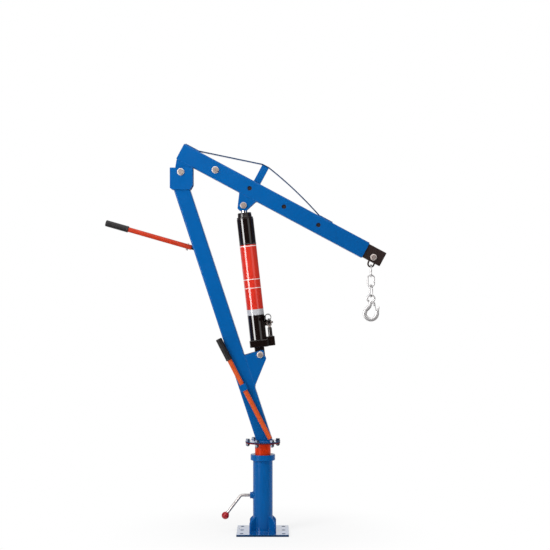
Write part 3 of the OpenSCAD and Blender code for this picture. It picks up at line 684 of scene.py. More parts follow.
def dress(node, finish, width, segments=2, bm=None):
    """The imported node, or a reworked copy of it, with its edges rounded."""
    obj = new_object(node + "_dressed", bm or clean_copy(node))
    round_edges(obj, width, segments)
    return finish_piece(obj, finish, node)


UPPER_ZONE, OUTER_ZONE, INNER_ROOT = 0.0003, 0.0005, 0.002


def rooted(node, matrix, outer_root):
    """A copy of a pair of plates whose upper edge, in a frame, is let into the tube's round corner."""
    bm = clean_copy(node)
    high = span(node, matrix)[1]
    inverse, lift = matrix.inverted(), matrix.col[2].xyz
    for vert in bm.verts:
        if (inverse @ vert.co).z > high.z - UPPER_ZONE:
            outside = abs(vert.co.y) > high.y - OUTER_ZONE
            vert.co += lift * (outer_root if outside else INNER_ROOT)
    return bm


# %% [markdown]
# ## Plates, lugs and brackets
# These are cut from sheet with a torch or a laser and then ground, so that a broken edge of about
# a millimetre is right. The cast foot and block of the ram have softer corners.

# %% Dress the plates
for node, width in {
    "post_gussets": 0.001, "lock_nut": 0.0008, "mast_cheeks": 0.0009,
    "boom_strut": 0.0015, "stowage_loop": 0.0007, "post_tube": 0.0005,
}.items():
    dress(node, "blue", width)
MAST_CORNER, BOOM_CORNER, LUG_EDGE = 0.006, 0.005, 0.0009
dress("ram_bracket", "blue", LUG_EDGE, bm=rooted("ram_bracket", mast, MAST_CORNER + LUG_EDGE))
for node in ("boom_pivot_lugs", "boom_ram_lugs"):
    dress(node, "blue", LUG_EDGE, bm=rooted(node, boom, BOOM_CORNER + LUG_EDGE))
dress("base_plate", "plate", 0.0012)
dress("mast_foot_plate", "plate", 0.0008)
dress("spigot_flange", "flange", 0.0008)
dress("spigot", "spigot", 0.0006)
dress("ram_base", "gloss", 0.0025, segments=3)
dress("pump_bracket", "cast", 0.0012)
dress("pump_rocker", "cast", 0.0008)
dress("pump_plunger", "dull", 0.0005)
dress("ram_rod", "chrome", 0.0008)
dress("push_handle_socket", "cast", 0.0005)
dress("push_handle_pin", "dull", 0.0006)
dress("hook_latch", "chain", 0.0004)

# %% [markdown]
# ## Square and oblong tubes
# A rolled tube has round corners, outside and in, and clean sawn ends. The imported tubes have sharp
# ones. Only the long corners are rounded here, which leaves the bolt holes and the ends alone.


# %% Round the long corners of the tubes
def rolled_tube(node, direction, outer, inner, finish):
    """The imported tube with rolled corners: outer and inner are the two corner radii."""
    bm = clean_copy(node)
    bmesh.ops.recalc_face_normals(bm, faces=bm.faces)
    for radius, convex in ((outer, True), (inner, False)):
        corners = [
            e for e in bm.edges
            if len(e.link_faces) == 2 and e.is_convex == convex
            and e.calc_face_angle(0) > math.radians(60)
            and abs((e.verts[0].co - e.verts[1].co).normalized().dot(direction)) > ALIGNED
            and e.calc_length() > SHORTEST_CORNER
        ]
        bmesh.ops.bevel(bm, geom=corners, offset=radius, segments=6, profile=0.5, affect="EDGES",
                        clamp_overlap=False)
    obj = new_object(node + "_rolled", bm)
    round_edges(obj, SAWN_EDGE, angle=50)
    return finish_piece(obj, finish, node)


ALIGNED, SHORTEST_CORNER, SAWN_EDGE = 0.9999, 0.012, 0.0006
rolled_tube("mast_tube", mast_up, MAST_CORNER, 0.0025, "blue")
rolled_tube("boom_tube", boom_ahead, BOOM_CORNER, 0.0022, "blue")
rolled_tube("extension_tube", boom_ahead, 0.004, 0.0018, "slide")
print("tubes rolled")

# %% [markdown]
# ## The tension strap
# A flat bar is bent over a strut and welded to the boom at both ends, which makes a truss of it. A
# bent bar has a curve at each bend, so it is drawn as a section carried along a rounded path.

# %% Bend the strap
strap_low, strap_high = span("tension_strap", boom)
strut_low, strut_high = span("boom_strut", boom)
STRAP_BEND, STRAP_BOW, STRAP_FOOT, BOW_STEPS = 0.022, 0.006, 0.058, 12
strap_t = strap_high.z - strut_high.z
seat_z = strut_low.z
foot_front = strap_high.x - STRAP_FOOT
bowed = []
for t in [i / BOW_STEPS for i in range(BOW_STEPS + 1)]:
    x = strut_high.x + (foot_front - strut_high.x) * t
    straight_z = strut_high.z + (seat_z - strut_high.z) * t
    bowed.append((x, 0, straight_z + 4 * STRAP_BOW * t * (1 - t)))
strap_line = [(strap_low.x, 0, seat_z), (STRAP_BEND, 0, seat_z), (strut_low.x, 0, strut_high.z), *bowed,
              (strap_high.x, 0, seat_z)]


def bar_along(path, width, thickness, corner=0.0008):
    """A flat bar laid on a path in the XZ plane, its underside on the path."""
    half = width / 2
    section = [(-half, corner), (-half + corner, 0), (half - corner, 0), (half, corner),
               (half, thickness - corner), (half - corner, thickness),
               (-half + corner, thickness), (-half, thickness - corner)]
    return lofted([[point + Vector((0, y, 0)) + upright(ahead) * z for y, z in section]
                   for point, ahead in zip(path, headings(path))])


strap = new_object("tension_strap_bent",
                   bar_along(filleted(strap_line, 0.012, 6), strap_high.y * 2, strap_t), boom)
finish_piece(strap, "strap", "tension_strap")
print("strap, mm thick", round(strap_t / MM, 1))

# %% [markdown]
# ## Turned pieces
# The collar, the ram's barrel and head, the grips and the ball are all bodies of revolution. Each
# profile is worked out from the node's own box, with small lips and grooves where a lathe or a
# mould leaves them.

# %% Collar
collar_low, collar_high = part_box("post_collar")
post_low, post_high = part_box("post_tube")
spigot_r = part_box("spigot")[1].x
bore = spigot_r + 0.00008
collar_profile = [
    (bore, collar_low.z), *arc((collar_high.x - 0.0012, collar_low.z + 0.0012), 0.0012, -90, 0, 4),
    *arc((collar_high.x - 0.0018, collar_high.z - 0.0018), 0.0018, 0, 90, 5),
    *arc((bore + 0.0012, collar_high.z - 0.0012), 0.0012, 90, 180, 4),
]
TURNED_SIDES = 128
collar = new_object("post_collar_turned", spun(collar_profile, TURNED_SIDES, closed=True))
finish_piece(collar, "blue", "post_collar")

# %% Ram barrel, its printed film and its head
barrel_low, barrel_high = span("ram_barrel", ram)
head_low, head_high = span("ram_head_nut", ram)
BARREL_BORE, LIP, FILM_T, FILM_FOOT = 0.020, 0.001, 0.00012, 0.1535
BARREL_R = barrel_high.x
field_top = RAM_FIELD[1]
barrel_profile = [
    (BARREL_BORE, barrel_low.z), (BARREL_R - LIP, barrel_low.z), (BARREL_R, barrel_low.z + LIP),
    (BARREL_R, field_top + 0.002), *arc((BARREL_R - 0.0006, field_top + 0.004), 0.0018, -70, 70, 6),
    (BARREL_R, field_top + 0.006), (BARREL_R, barrel_high.z - LIP),
    (BARREL_R - LIP, barrel_high.z), (BARREL_BORE, barrel_high.z),
]
barrel = new_object("ram_barrel_turned", spun(barrel_profile, TURNED_SIDES, closed=True), ram)
finish_piece(barrel, "gloss", "ram_barrel")

film_r = BARREL_R + FILM_T
film_profile = [(BARREL_R, FILM_FOOT), (film_r, FILM_FOOT), (film_r, field_top), (BARREL_R, field_top)]
film_sleeve = new_object("ram_printed_film", spun(film_profile, TURNED_SIDES, closed=True), ram)
finish_piece(film_sleeve, "decal", body=home["ram_barrel"])

head_r, ROD_BORE = head_high.x, 0.01208
head_profile = [
    (ROD_BORE, head_low.z), (head_r - 0.0004, head_low.z),
    *arc((head_r - 0.0012, head_low.z + 0.0048), 0.0012, 0, 80, 4),
    (head_r - 0.0042, head_low.z + 0.0075), (head_r - 0.0046, head_low.z + 0.010),
    (head_r - 0.0052, head_high.z - 0.0045),
    *arc((head_r - 0.0085, head_high.z - 0.0035), 0.0033, 0, 80, 5),
    (ROD_BORE + 0.006, head_high.z - 0.0004), (ROD_BORE + 0.0052, head_high.z - 0.0018),
    (ROD_BORE + 0.0012, head_high.z - 0.0018), (ROD_BORE, head_high.z - 0.003),
]
head = new_object("ram_head_turned", spun(head_profile, TURNED_SIDES, closed=True), ram)
finish_piece(head, "cast", "ram_head_nut")


# %% Grips and handle tubes
GRIP_WALL, GRIP_END, GRIP_LIP = 0.0022, 0.005, 0.0003


def turned_grip(name, node, direction):
    """A moulded grip on its tube, from its blind bore over its open rim to its domed end."""
    place, size = axis_frame(node, direction)
    bore_r, outer_r, length = size.x / 2 - GRIP_WALL, size.x / 2 - GRIP_LIP, size.z
    profile = [
        (0.0, length - GRIP_END), (bore_r, length - GRIP_END), (bore_r, 0.0),
        *arc((outer_r - 0.0008, 0.0012), 0.0012, -90, 0, 4), (outer_r + 0.0004, 0.004),
        (outer_r - 0.0001, 0.0055), (outer_r, 0.008), (outer_r, length - 0.0045),
        *arc((outer_r - 0.0035, length - 0.0035), 0.0035, 0, 90, 7), (0.0, length),
    ]
    return finish_piece(new_object(name, spun(profile, 64), place), "rubber", node)


handle_up = Vector(joints["stowed_handle_lift"]["axis"])
PUSH_RISE = math.radians(16)
push_out = Vector((-math.cos(PUSH_RISE), 0, math.sin(PUSH_RISE)))
turned_grip("push_grip_moulded", "push_handle_grip", push_out)
turned_grip("stowed_grip_moulded", "stowed_handle_grip", handle_up)
dress("push_handle_tube", "orange", 0.0006)
dress("stowed_handle_tube", "amber", 0.0006)
print("grips turned")

# %% [markdown]
# ## Bolts
# A forged hexagon head has a turned chamfer: the cone cuts the six corners lower than the flats,
# which draws the small arcs that the eye knows. The height of the edge is worked out from the
# radius of the hexagon in each direction, so one formula gives the whole head.

# %% A hexagon head or nut
CHAMFER = math.tan(math.radians(30))
HEAD_PER_DIAMETER, FACE_PART, PER_SIDE = 1.5, 0.95, 8
SIXTH, TWELFTH = math.pi / 3, math.pi / 6


def hexagon(across, height, low_chamfer=False):
    """A hexagon on Z = 0 with its upper edge, or both, turned to a cone."""
    flat = across / 2
    face = flat * FACE_PART
    turns = [SIXTH * (i / PER_SIDE) - TWELFTH for i in range(6 * PER_SIDE)]
    reach = [flat / math.cos((t + TWELFTH) % SIXTH - TWELFTH) for t in turns]
    drop = [(r - face) * CHAMFER for r in reach]
    inner, level = [face] * len(turns), [0] * len(turns)
    rings = [(inner, level)] if low_chamfer else []
    rings += [(reach, drop if low_chamfer else level), (reach, [height - d for d in drop]),
              (inner, [height] * len(turns))]
    return lofted([
        [Vector((r * math.cos(t), r * math.sin(t), h)) for t, r, h in zip(turns, radii, heights)]
        for radii, heights in rings
    ])


def merge_into(target, source, matrix=WORLD):
    """Adds one mesh to another, placed by a matrix."""
    spare = bpy.data.meshes.new("spare")
    source.transform(matrix)
    source.to_mesh(spare)
    source.free()
    target.from_mesh(spare)
    bpy.data.meshes.remove(spare)


def washer(inner, outer, thickness):
    """A flat ring on Z = 0 with broken outer edges."""
    edge = thickness * 0.25
    return spun([(inner, 0), (outer - edge, 0), (outer, edge), (outer, thickness - edge),
                 (outer - edge, thickness), (inner, thickness)], 48, closed=True)


def shank(radius, low, high):
    """A plain round bar on the Z axis with broken ends."""
    edge = radius * 0.12
    return spun([(0, low), (radius - edge, low), (radius, low + edge), (radius, high - edge),
                 (radius - edge, high), (0, high)], 32)


TO_FRONT = Matrix.Rotation(math.radians(90), 4, "X")
HEAD_HEIGHT, WASHER_HEIGHT, BLIND_BORE = 0.62, 0.14, 0.002


def cross_bolt(node, matrix, ring=0.98, hexagon_across=HEAD_PER_DIAMETER, through=True):
    """A bolt across the crane: head in front, nut and thread end behind, a bright washer under each.

    The ring is the washer's radius and the other the hexagon's width, both in bolt diameters.
    """
    low, high = span(node, matrix)
    diameter = (high.z - low.z) / HEAD_PER_DIAMETER
    centre = Vector(((low.x + high.x) / 2, 0, (low.z + high.z) / 2))
    head_t, plate = HEAD_HEIGHT * diameter, WASHER_HEIGHT * diameter
    near = -low.y - head_t
    front = matrix @ Matrix.Translation(centre) @ TO_FRONT
    back = matrix @ Matrix.Translation(centre) @ TO_FRONT.inverted()
    inner = diameter / 2 if through else BLIND_BORE
    steel, bright = bmesh.new(), bmesh.new()
    for place, is_nut in ((front @ raised(near), False), (back @ raised(near), through)):
        merge_into(bright, washer(inner, diameter * ring, plate), place)
        body = hexagon(hexagon_across * diameter, head_t - plate, low_chamfer=is_nut)
        merge_into(steel, body, place @ raised(plate))
    if through:
        merge_into(steel, shank(diameter / 2, -near - head_t * 0.5, high.y), back)
    finish_piece(new_object(node + "_washers", bright), "zinc", body=home[node])
    return finish_piece(new_object(node + "_forged", steel), "dull", node)


cross_bolt("boom_pivot_bolt", WORLD)
cross_bolt("ram_lower_bolt", WORLD, ring=0.92, hexagon_across=1.25)
cross_bolt("boom_lock_bolt", boom)
cross_bolt("chain_bolt", boom, ring=0.89, hexagon_across=1.3)
cross_bolt("ram_upper_bolt", boom, ring=0.89, through=False)
print("bolts forged")

# %% [markdown]
# ## The ring of flange bolts
# Six equal bolts sit on one circle. Geometry Nodes place one bolt on the points of a circle, so
# that the count, the radius and the starting angle stay plain numbers to play with.


# %% Bolt ring with Geometry Nodes
def geometry_tree(name, inputs):
    """An empty geometry tree with its named inputs, its input node and its output node."""
    tree = bpy.data.node_groups.new(name, "GeometryNodeTree")
    tree.interface.new_socket("Geometry", in_out="INPUT", socket_type="NodeSocketGeometry")
    source, sink = socketed(tree, inputs, [("Geometry", "NodeSocketGeometry")])
    return tree, source, sink


def end_tree(tree, source, sink, geometry):
    """Realizes what was instanced, gives it its material, and ends the tree."""
    real = add(tree, "GeometryNodeRealizeInstances", {0: geometry})
    inputs = {"Geometry": real.outputs[0], "Material": source.outputs["Material"]}
    dressed = add(tree, "GeometryNodeSetMaterial", inputs)
    tree.links.new(dressed.outputs[0], sink.inputs[0])


def run_tree(obj, tree, **values):
    """Runs a geometry tree on an object with named inputs, and keeps the plain mesh."""
    made = obj.modifiers.new(tree.name, "NODES")
    made.node_group = tree
    keys = {i.name: i.identifier for i in tree.interface.items_tree if i.in_out == "INPUT"}
    for name, value in values.items():
        made[keys[name.replace("_", " ")]] = value
    return apply_modifiers(obj)


MATERIAL = ("Material", "NodeSocketMaterial", None)


def ring_tree():
    """Copies of one piece on the points of a circle."""
    inputs = [("Piece", "NodeSocketObject", None), ("Count", "NodeSocketInt", 6),
              ("Pitch Radius", FLOAT, 0.05), ("Start Angle", FLOAT, 0.0), MATERIAL]
    tree, source, sink = geometry_tree("bolt_ring", inputs)
    given = source.outputs
    sizes = {"Vertices": given["Count"], "Radius": given["Pitch Radius"]}
    circle = add(tree, "GeometryNodeMeshCircle", sizes)
    turn = add(tree, "ShaderNodeCombineXYZ", {"Z": given["Start Angle"]})
    turned = add(tree, "GeometryNodeTransform", {0: circle.outputs[0], "Rotation": turn.outputs[0]})
    piece = add(tree, "GeometryNodeObjectInfo", {"Object": given["Piece"]}).outputs["Geometry"]
    placed = add(tree, "GeometryNodeInstanceOnPoints", {"Points": turned.outputs[0], "Instance": piece})
    end_tree(tree, source, sink, placed.outputs[0])
    return tree


bolt_ring = ring_tree()
ring_low, ring_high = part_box("flange_bolts")
seat_top, flange_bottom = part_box("mast_foot_plate")[1].z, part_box("spigot_flange")[0].z
FLANGE_BOLT, RING_PLATE, PITCH_R, START_ANGLE = 0.010, 0.0012, 0.0585, math.radians(8)
across, nut_h = HEAD_PER_DIAMETER * FLANGE_BOLT, 0.9 * FLANGE_BOLT
bm = bmesh.new()
merge_into(bm, washer(FLANGE_BOLT / 2, FLANGE_BOLT, RING_PLATE), raised(seat_top))
merge_into(bm, hexagon(across, ring_high.z - seat_top - RING_PLATE), raised(seat_top + RING_PLATE))
merge_into(bm, hexagon(across, nut_h, low_chamfer=True), raised(flange_bottom - nut_h))
merge_into(bm, shank(FLANGE_BOLT / 2, ring_low.z, seat_top + 0.002))
one_bolt = new_object("one_flange_bolt", bm)
bolts = new_object("flange_bolts_forged", bmesh.new())
run_tree(bolts, bolt_ring, Piece=one_bolt, Count=6, Pitch_Radius=PITCH_R, Start_Angle=START_ANGLE,
         Material=gun_bolt)
bpy.data.objects.remove(one_bolt)
finish_piece(bolts, "gun", "flange_bolts")

# %% [markdown]
# ## Weld beads
# The crane is welded up from plates and tubes, and the beads soften every inner corner. One tree
# turns any set of lines into beads: it spaces points evenly along them and lets the thickness rise
# and fall, once for each dab of the torch and a little at random.


# %% A weld bead with Geometry Nodes
def weld_tree():
    """Beads along curves, which swell with each dab of the torch and a little at random."""
    inputs = [("Radius", FLOAT, 0.003), ("Step", FLOAT, 0.0014), ("Dab", FLOAT, 0.0046),
              ("Ripple", FLOAT, 0.22), ("Seed", FLOAT, 1.0), MATERIAL]
    tree, source, sink = geometry_tree("weld_bead", inputs)
    given = source.outputs
    lines = add(tree, "GeometryNodeMeshToCurve", {"Mesh": given["Geometry"]})
    even = add(tree, "GeometryNodeResampleCurve", {"Curve": lines.outputs[0], "Length": given["Step"]},
               mode="LENGTH")
    walked = add(tree, "GeometryNodeSplineParameter").outputs["Length"]
    turns = math_node(tree, "DIVIDE", walked, given["Dab"])
    wave = math_node(tree, "SINE", math_node(tree, "MULTIPLY", turns, 2 * math.pi))
    chance = add(tree, "ShaderNodeTexNoise", {"W": given["Seed"], "Scale": 150.0, "Detail": 2.0},
                 noise_dimensions="4D")
    uneven = math_node(tree, "MULTIPLY_ADD", chance.outputs[0], 2.4, -1.2)
    swell = math_node(tree, "MULTIPLY_ADD", wave, 0.4, uneven)
    scale = math_node(tree, "MULTIPLY_ADD", swell, given["Ripple"], 1.0)
    thick = add(tree, "GeometryNodeSetCurveRadius", {"Curve": even.outputs[0], "Radius": scale})
    ring = add(tree, "GeometryNodeCurvePrimitiveCircle", {"Resolution": 8, "Radius": given["Radius"]})
    inputs = {"Curve": thick.outputs[0], "Profile Curve": ring.outputs[0], "Fill Caps": True}
    bead = add(tree, "GeometryNodeCurveToMesh", inputs)
    end_tree(tree, source, sink, bead.outputs[0])
    return tree


weld_bead = weld_tree()


def weld(name, body, radius, lines, finish="blue", matrix=WORLD):
    """Beads along lines of points. A line whose first point comes again at its end is closed."""
    bm = bmesh.new()
    for line in lines:
        closed = (Vector(line[0]) - Vector(line[-1])).length < 1e-6
        points = [bm.verts.new(p) for p in (line[:-1] if closed else line)]
        pairs = list(zip(points, points[1:])) + ([(points[-1], points[0])] if closed else [])
        for a, b in pairs:
            bm.edges.new((a, b))
    beads = new_object(name, bm, matrix)
    run_tree(beads, weld_bead, Radius=radius, Material=FINISH[finish][0])
    return finish_piece(beads, finish, body=body)


def level_ring(radius, height):
    """A closed circle about the post's axis."""
    return [(x, y, height) for x, y in arc((0, 0), radius, 0, 360, 72)]


def level_box(x0, x1, half_y, height, corner):
    """A closed oblong with rounded corners."""
    left, right, side = x0 + corner, x1 - corner, half_y - corner
    line = []
    for quarter, centre in enumerate(((right, side), (left, side), (left, -side), (right, -side))):
        line += arc(centre, corner, 90 * quarter, 90 * quarter + 90, 4)
    return [(x, y, height) for x, y in line + line[:1]]


def both_sides(half_y, *points):
    """A line given by X and Z, once on each side of the crane."""
    return [[(x, side * half_y, z) for x, z in points] for side in (-1, 1)]


# %% Beads on the base
plate_top = post_low.z
gusset_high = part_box("post_gussets")[1]
GUSSET_T = 0.008
gusset_reach = gusset_high.x * math.sqrt(2) - GUSSET_T / 2
gusset_lines = []
for quarter in range(4):
    turned = Matrix.Rotation(math.radians(45 + 90 * quarter), 4, "Z")
    for side in (-GUSSET_T / 2, GUSSET_T / 2):
        root = math.sqrt(post_high.x**2 - side**2)
        edge = [(root, side, gusset_high.z - 0.001), (root, side, plate_top),
                (gusset_reach - 0.002, side, plate_top)]
        gusset_lines.append([turned @ Vector(p) for p in edge])
nut_low, nut_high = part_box("lock_nut")
lever_axis_z = (nut_low.z + nut_high.z) / 2
saddle = [(-math.sqrt(post_high.x**2 - y**2), y, lever_axis_z + z)
          for y, z in arc((0, 0), (nut_high.z - nut_low.z) / 2, 0, 360, 40)]
weld("base_welds", "base", 0.0024, [*gusset_lines, level_ring(post_high.x, plate_top), saddle])
weld("collar_weld", "base", 0.0016, [level_ring(post_high.x, collar_low.z)])

# %% Beads on the mast
foot_right_x = max(p.x for p in foot_points)
mast_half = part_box("mast_tube")[1].y


def mast_face(height, right=True):
    """X of the mast's right or left face at a height."""
    return (foot_right_x if right else foot_left.x) + (height - foot_z) * mast_up.x / mast_up.z


BRACKET_SEAM, BRACKET_INSET, CHEEK_END = 0.124, 0.0014, 0.007
cheek_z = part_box("mast_cheeks")[0].z
bracket_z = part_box("ram_bracket")[0].z
bracket_top = bracket_z + BRACKET_SEAM
loop_frame = frame_at((0, 0, 0), Vector((handle_up.z, 0, -handle_up.x)), handle_up)
loop_low, loop_high = span("stowage_loop", loop_frame)
foot_line = level_box(foot_left.x, foot_right_x, mast_half, foot_z, MAST_CORNER)
weld("mast_foot_weld", "mast", 0.003, [foot_line])
weld("mast_welds", "mast", 0.0022, [
    *both_sides(mast_half, (mast_face(cheek_z, False) + CHEEK_END, cheek_z),
                (mast_face(cheek_z) - CHEEK_END, cheek_z)),
    *both_sides(mast_half - BRACKET_INSET, (mast_face(bracket_z), bracket_z),
                (mast_face(bracket_top), bracket_top)),
])
weld("loop_welds", "mast", 0.0016, [
    [(x, -mast_half, loop_low.z + 0.001), (x, -mast_half, loop_high.z - 0.001)]
    for x in (loop_low.x, loop_high.x)
], matrix=loop_frame)
weld("spigot_weld", "mast", 0.0022, [level_ring(spigot_r, flange_bottom)], "spigot")

# %% Beads on the boom
lug_low, lug_high = span("boom_pivot_lugs", boom)
ram_lug_low, ram_lug_high = span("boom_ram_lugs", boom)
strap_half, bead_z = strap_high.y, seat_z + 0.0006
weld("boom_welds", "boom", 0.002, [
    *both_sides(lug_high.y - 0.001, (lug_low.x + 0.001, lug_high.z), (lug_high.x, lug_high.z)),
    *both_sides(ram_lug_high.y - 0.001, (ram_lug_low.x, ram_lug_high.z),
                (ram_lug_high.x, ram_lug_high.z)),
    level_box(strut_low.x, strut_high.x, strut_high.y, strut_low.z, 0.002),
    *both_sides(strap_half, (strap_low.x + 0.001, bead_z), (STRAP_BEND, bead_z)),
    *both_sides(strap_half, (foot_front, bead_z), (strap_high.x, bead_z)),
    [(strap_high.x, -strap_half, bead_z), (strap_high.x, strap_half, bead_z)],
], matrix=boom)

# %% [markdown]
# ## The clamping lever
# One round bar is screwed into the post, bent down and capped with a moulded ball. Its screwed
# length is a helix: a tree pushes the points of a fine cylinder in and out by their angle and
# height. The bent arm is a swept circle.


# %% Sweep, thread and ball
def swept(path, radii, sides):
    """The sections of a round bar along a path, with a radius for each point."""
    ahead = headings(path)
    side = ahead[0].orthogonal().normalized()
    rings = []
    for point, direction, radius in zip(path, ahead, radii):
        side = (side - direction * side.dot(direction)).normalized()
        rings.append(round_section(point, side, direction.cross(side), radius, sides))
    return rings


def thread_tree():
    """A cylinder whose points are drawn in by a wave that climbs as it goes round."""
    inputs = [("Radius", FLOAT, 0.005), ("Length", FLOAT, 0.02), ("Pitch", FLOAT, 0.0015),
              ("Depth", FLOAT, 0.0006), MATERIAL]
    tree, source, sink = geometry_tree("screw_thread", inputs)
    given = source.outputs
    bar = add(tree, "GeometryNodeMeshCylinder", {"Vertices": 40, "Side Segments": 220,
                                                 "Radius": given["Radius"], "Depth": given["Length"]})
    place = add(tree, "ShaderNodeSeparateXYZ", {0: add(tree, "GeometryNodeInputPosition").outputs[0]})
    x, y, z = place.outputs
    angle = math_node(tree, "DIVIDE", math_node(tree, "ARCTAN2", y, x), 2 * math.pi)
    turns = math_node(tree, "DIVIDE", z, given["Pitch"])
    wave = math_node(tree, "PINGPONG", math_node(tree, "SUBTRACT", turns, angle), 0.5)
    shrink = math_node(tree, "MULTIPLY", math_node(tree, "MULTIPLY", wave, 2.0), given["Depth"])
    keep = math_node(tree, "SUBTRACT", 1.0, math_node(tree, "DIVIDE", shrink, given["Radius"]))
    moved = add(tree, "ShaderNodeCombineXYZ", {"X": math_node(tree, "MULTIPLY", x, keep),
                                               "Y": math_node(tree, "MULTIPLY", y, keep), "Z": z})
    cut = add(tree, "GeometryNodeSetPosition", {0: bar.outputs[0], "Position": moved.outputs[0]})
    end_tree(tree, source, sink, cut.outputs[0])
    return tree


screw_thread = thread_tree()
lever_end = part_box("lock_lever_rod")[1].x
ball_low, ball_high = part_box("lock_lever_ball")
ball_centre = (ball_low + ball_high) / 2
LEVER_R, KNEE_X, KNEE_R, LEVER_STRAIGHT = 0.0055, -0.0845, 0.014, 0.016
ball_r = (ball_high.x - ball_low.x) / 2
knee = Vector((KNEE_X, 0, lever_axis_z))
arm = (ball_centre - knee).normalized()
corners = [Vector((lever_end, 0, lever_axis_z)), Vector((nut_low.x - LEVER_STRAIGHT, 0, lever_axis_z)),
           knee, ball_centre - arm * ball_r * 0.7]
path = filleted(corners, KNEE_R, 10)
rod = new_object("lock_lever_bent", lofted(swept(path, [LEVER_R] * len(path), 32)))
thread = new_object("lock_lever_thread", bmesh.new())
THREAD_L, THREAD_OUT = 0.030, 0.024
run_tree(thread, screw_thread, Radius=LEVER_R + 0.0005, Length=THREAD_L, Pitch=0.00175, Depth=0.0007,
         Material=lever_zinc)
thread.data.transform(Matrix.Translation((nut_low.x - THREAD_OUT + THREAD_L / 2, 0, lever_axis_z))
                      @ Matrix.Rotation(math.radians(90), 4, "Y"))
finish_piece(thread, "lever", body=home["lock_lever_rod"])
finish_piece(rod, "lever", "lock_lever_rod")

NECK_R = 0.0075
neck = math.degrees(math.asin(NECK_R / ball_r))
ball_profile = [(LEVER_R, -ball_r * 0.99), (NECK_R - 0.0003, -ball_r * 0.99),
                *arc((0, 0), ball_r, -90 + neck + 4, 90, 24)[:-1], (0.0, ball_r)]
ball_place = frame_at(ball_centre, upright(arm), arm)
ball = new_object("lock_lever_ball_moulded", spun(ball_profile, 64), ball_place)
finish_piece(ball, "red", "lock_lever_ball")
print("lever bends at", [round(v, 4) for v in knee])

# %% [markdown]
# ## Chain links and the hanger
# A welded link is one round bar bent to a long loop, with a swollen weld on one long side. Each
# link is a loop of points swept with a circle, and the radius grows by a small bell curve at the
# weld. All four links use the same few lines with their own sizes.


# %% Forge the links
WIRE, HANGER_WIRE = 0.006, 0.0065
LINK_STEPS, LINK_SIDES, LINK_SWELL = 20, 20, 0.096


def link_path(length, width, wire):
    """The closed centre line of a link in the XZ plane, centred on the origin."""
    radius = (width - wire) / 2
    straight = (length - wire) / 2 - radius
    top = [(x, z + straight) for x, z in arc((0, 0), radius, 0, 180, LINK_STEPS)]
    side = [(-radius, straight - 2 * straight * i / LINK_STEPS) for i in range(1, LINK_STEPS)]
    half = top + side
    return [Vector((x * way, 0, z * way)) for way in (1, -1) for x, z in half]


def forged_link(node, matrix, wire, finish="chain"):
    """A link of round wire that fills the node's span in a frame, with a swollen weld on one side."""
    low, high = span(node, matrix)
    path = link_path(high.z - low.z, high.x - low.x, wire)
    rings = []
    for i, point in enumerate(path):
        ahead = (path[(i + 1) % len(path)] - path[i - 1]).normalized()
        swell = LINK_SWELL * math.exp(-(point.z / (wire * 0.5)) ** 2) if point.x < 0 else 0
        radius = wire / 2 * (1 + swell)
        rings.append(round_section(point, ALONG_Y.cross(ahead), ALONG_Y, radius, LINK_SIDES))
    bm = lofted(rings + [rings[0]], capped=False)
    bmesh.ops.remove_doubles(bm, verts=bm.verts, dist=1e-7)
    centre = matrix @ Matrix.Translation((low + high) / 2)
    return finish_piece(new_object(node + "_forged", bm, centre), finish, node)


for node in ("chain_link_upper", "chain_link_middle", "chain_link_lower"):
    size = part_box(node)[1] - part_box(node)[0]
    across = Vector((0, 1, 0)) if size.y > size.x else Vector((1, 0, 0))
    if node == "chain_link_lower":
        across = Vector(joints["hook_swing"]["axis"])
    forged_link(node, frame_at((0, 0, 0), across, ALONG_Z), WIRE)
    print(node, [round(v / MM, 1) for v in size])


def leaning(degrees):
    """A frame turned about Y."""
    tilt = math.radians(degrees)
    c, s = math.cos(tilt), math.sin(tilt)
    return frame_at((0, 0, 0), (c, 0, -s), (s, 0, c))


def width_in(matrix):
    """How wide the hanger link is in a frame."""
    low, high = span("hanger_link", matrix)
    return high.x - low.x


narrowest = min((leaning(degrees) for degrees in range(-60, 61)), key=width_in)
forged_link("hanger_link", narrowest, HANGER_WIRE, finish="raw")

# %% [markdown]
# ## The hook
# A load hook is forged from one bar: a ring eye, a short shank, and a bowl that is thickest at its
# back and thins to a nose. It is skinned over rounded sections along its centre line. Each row of
# the table gives the centre, half the height of the section and half its thickness. The points are
# measured from the centre of the bowl, in millimetres.

# %% Forge the hook
hook_low, hook_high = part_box("load_hook")
hook_x = sum(corner.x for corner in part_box("chain_link_upper")) / 2
EYE_OUT, EYE_WIRE, EYE_TO_BOWL = 0.0175, 0.007, 0.0575
eye_z = hook_high.z - EYE_OUT
bowl_z = eye_z - EYE_TO_BOWL
hook_rows = [
    (-1.6, 47.0, 5.0, 5.2), (-1.8, 42.5, 5.6, 5.8), (-2.2, 37.0, 6.0, 6.2), (-4.4, 30.0, 7.4, 6.4),
    (-10.0, 22.4, 8.4, 6.5), (-17.6, 15.2, 8.4, 6.5), (-22.6, 6.0, 8.2, 6.5), (-23.4, -4.0, 8.0, 6.5),
    (-19.6, -13.4, 8.0, 6.5), (-11.8, -20.6, 8.0, 6.5), (-1.0, -23.6, 8.0, 6.5), (9.8, -21.4, 8.0, 6.5),
    (18.6, -14.6, 8.0, 6.5), (23.0, -5.0, 7.9, 6.5), (24.2, 4.0, 7.3, 6.3), (26.0, 12.4, 5.9, 5.9),
    (28.6, 20.4, 4.4, 5.0), (30.4, 25.6, 3.0, 3.4), (31.2, 28.2, 1.2, 1.4),
]


def squircle(steps, power):
    """Points of a rounded rectangle of half size one."""
    points = []
    for i in range(steps):
        t = 2 * math.pi * i / steps
        c, s = math.cos(t), math.sin(t)
        points.append([math.copysign(abs(part) ** (2 / power), part) for part in (c, s)])
    return points


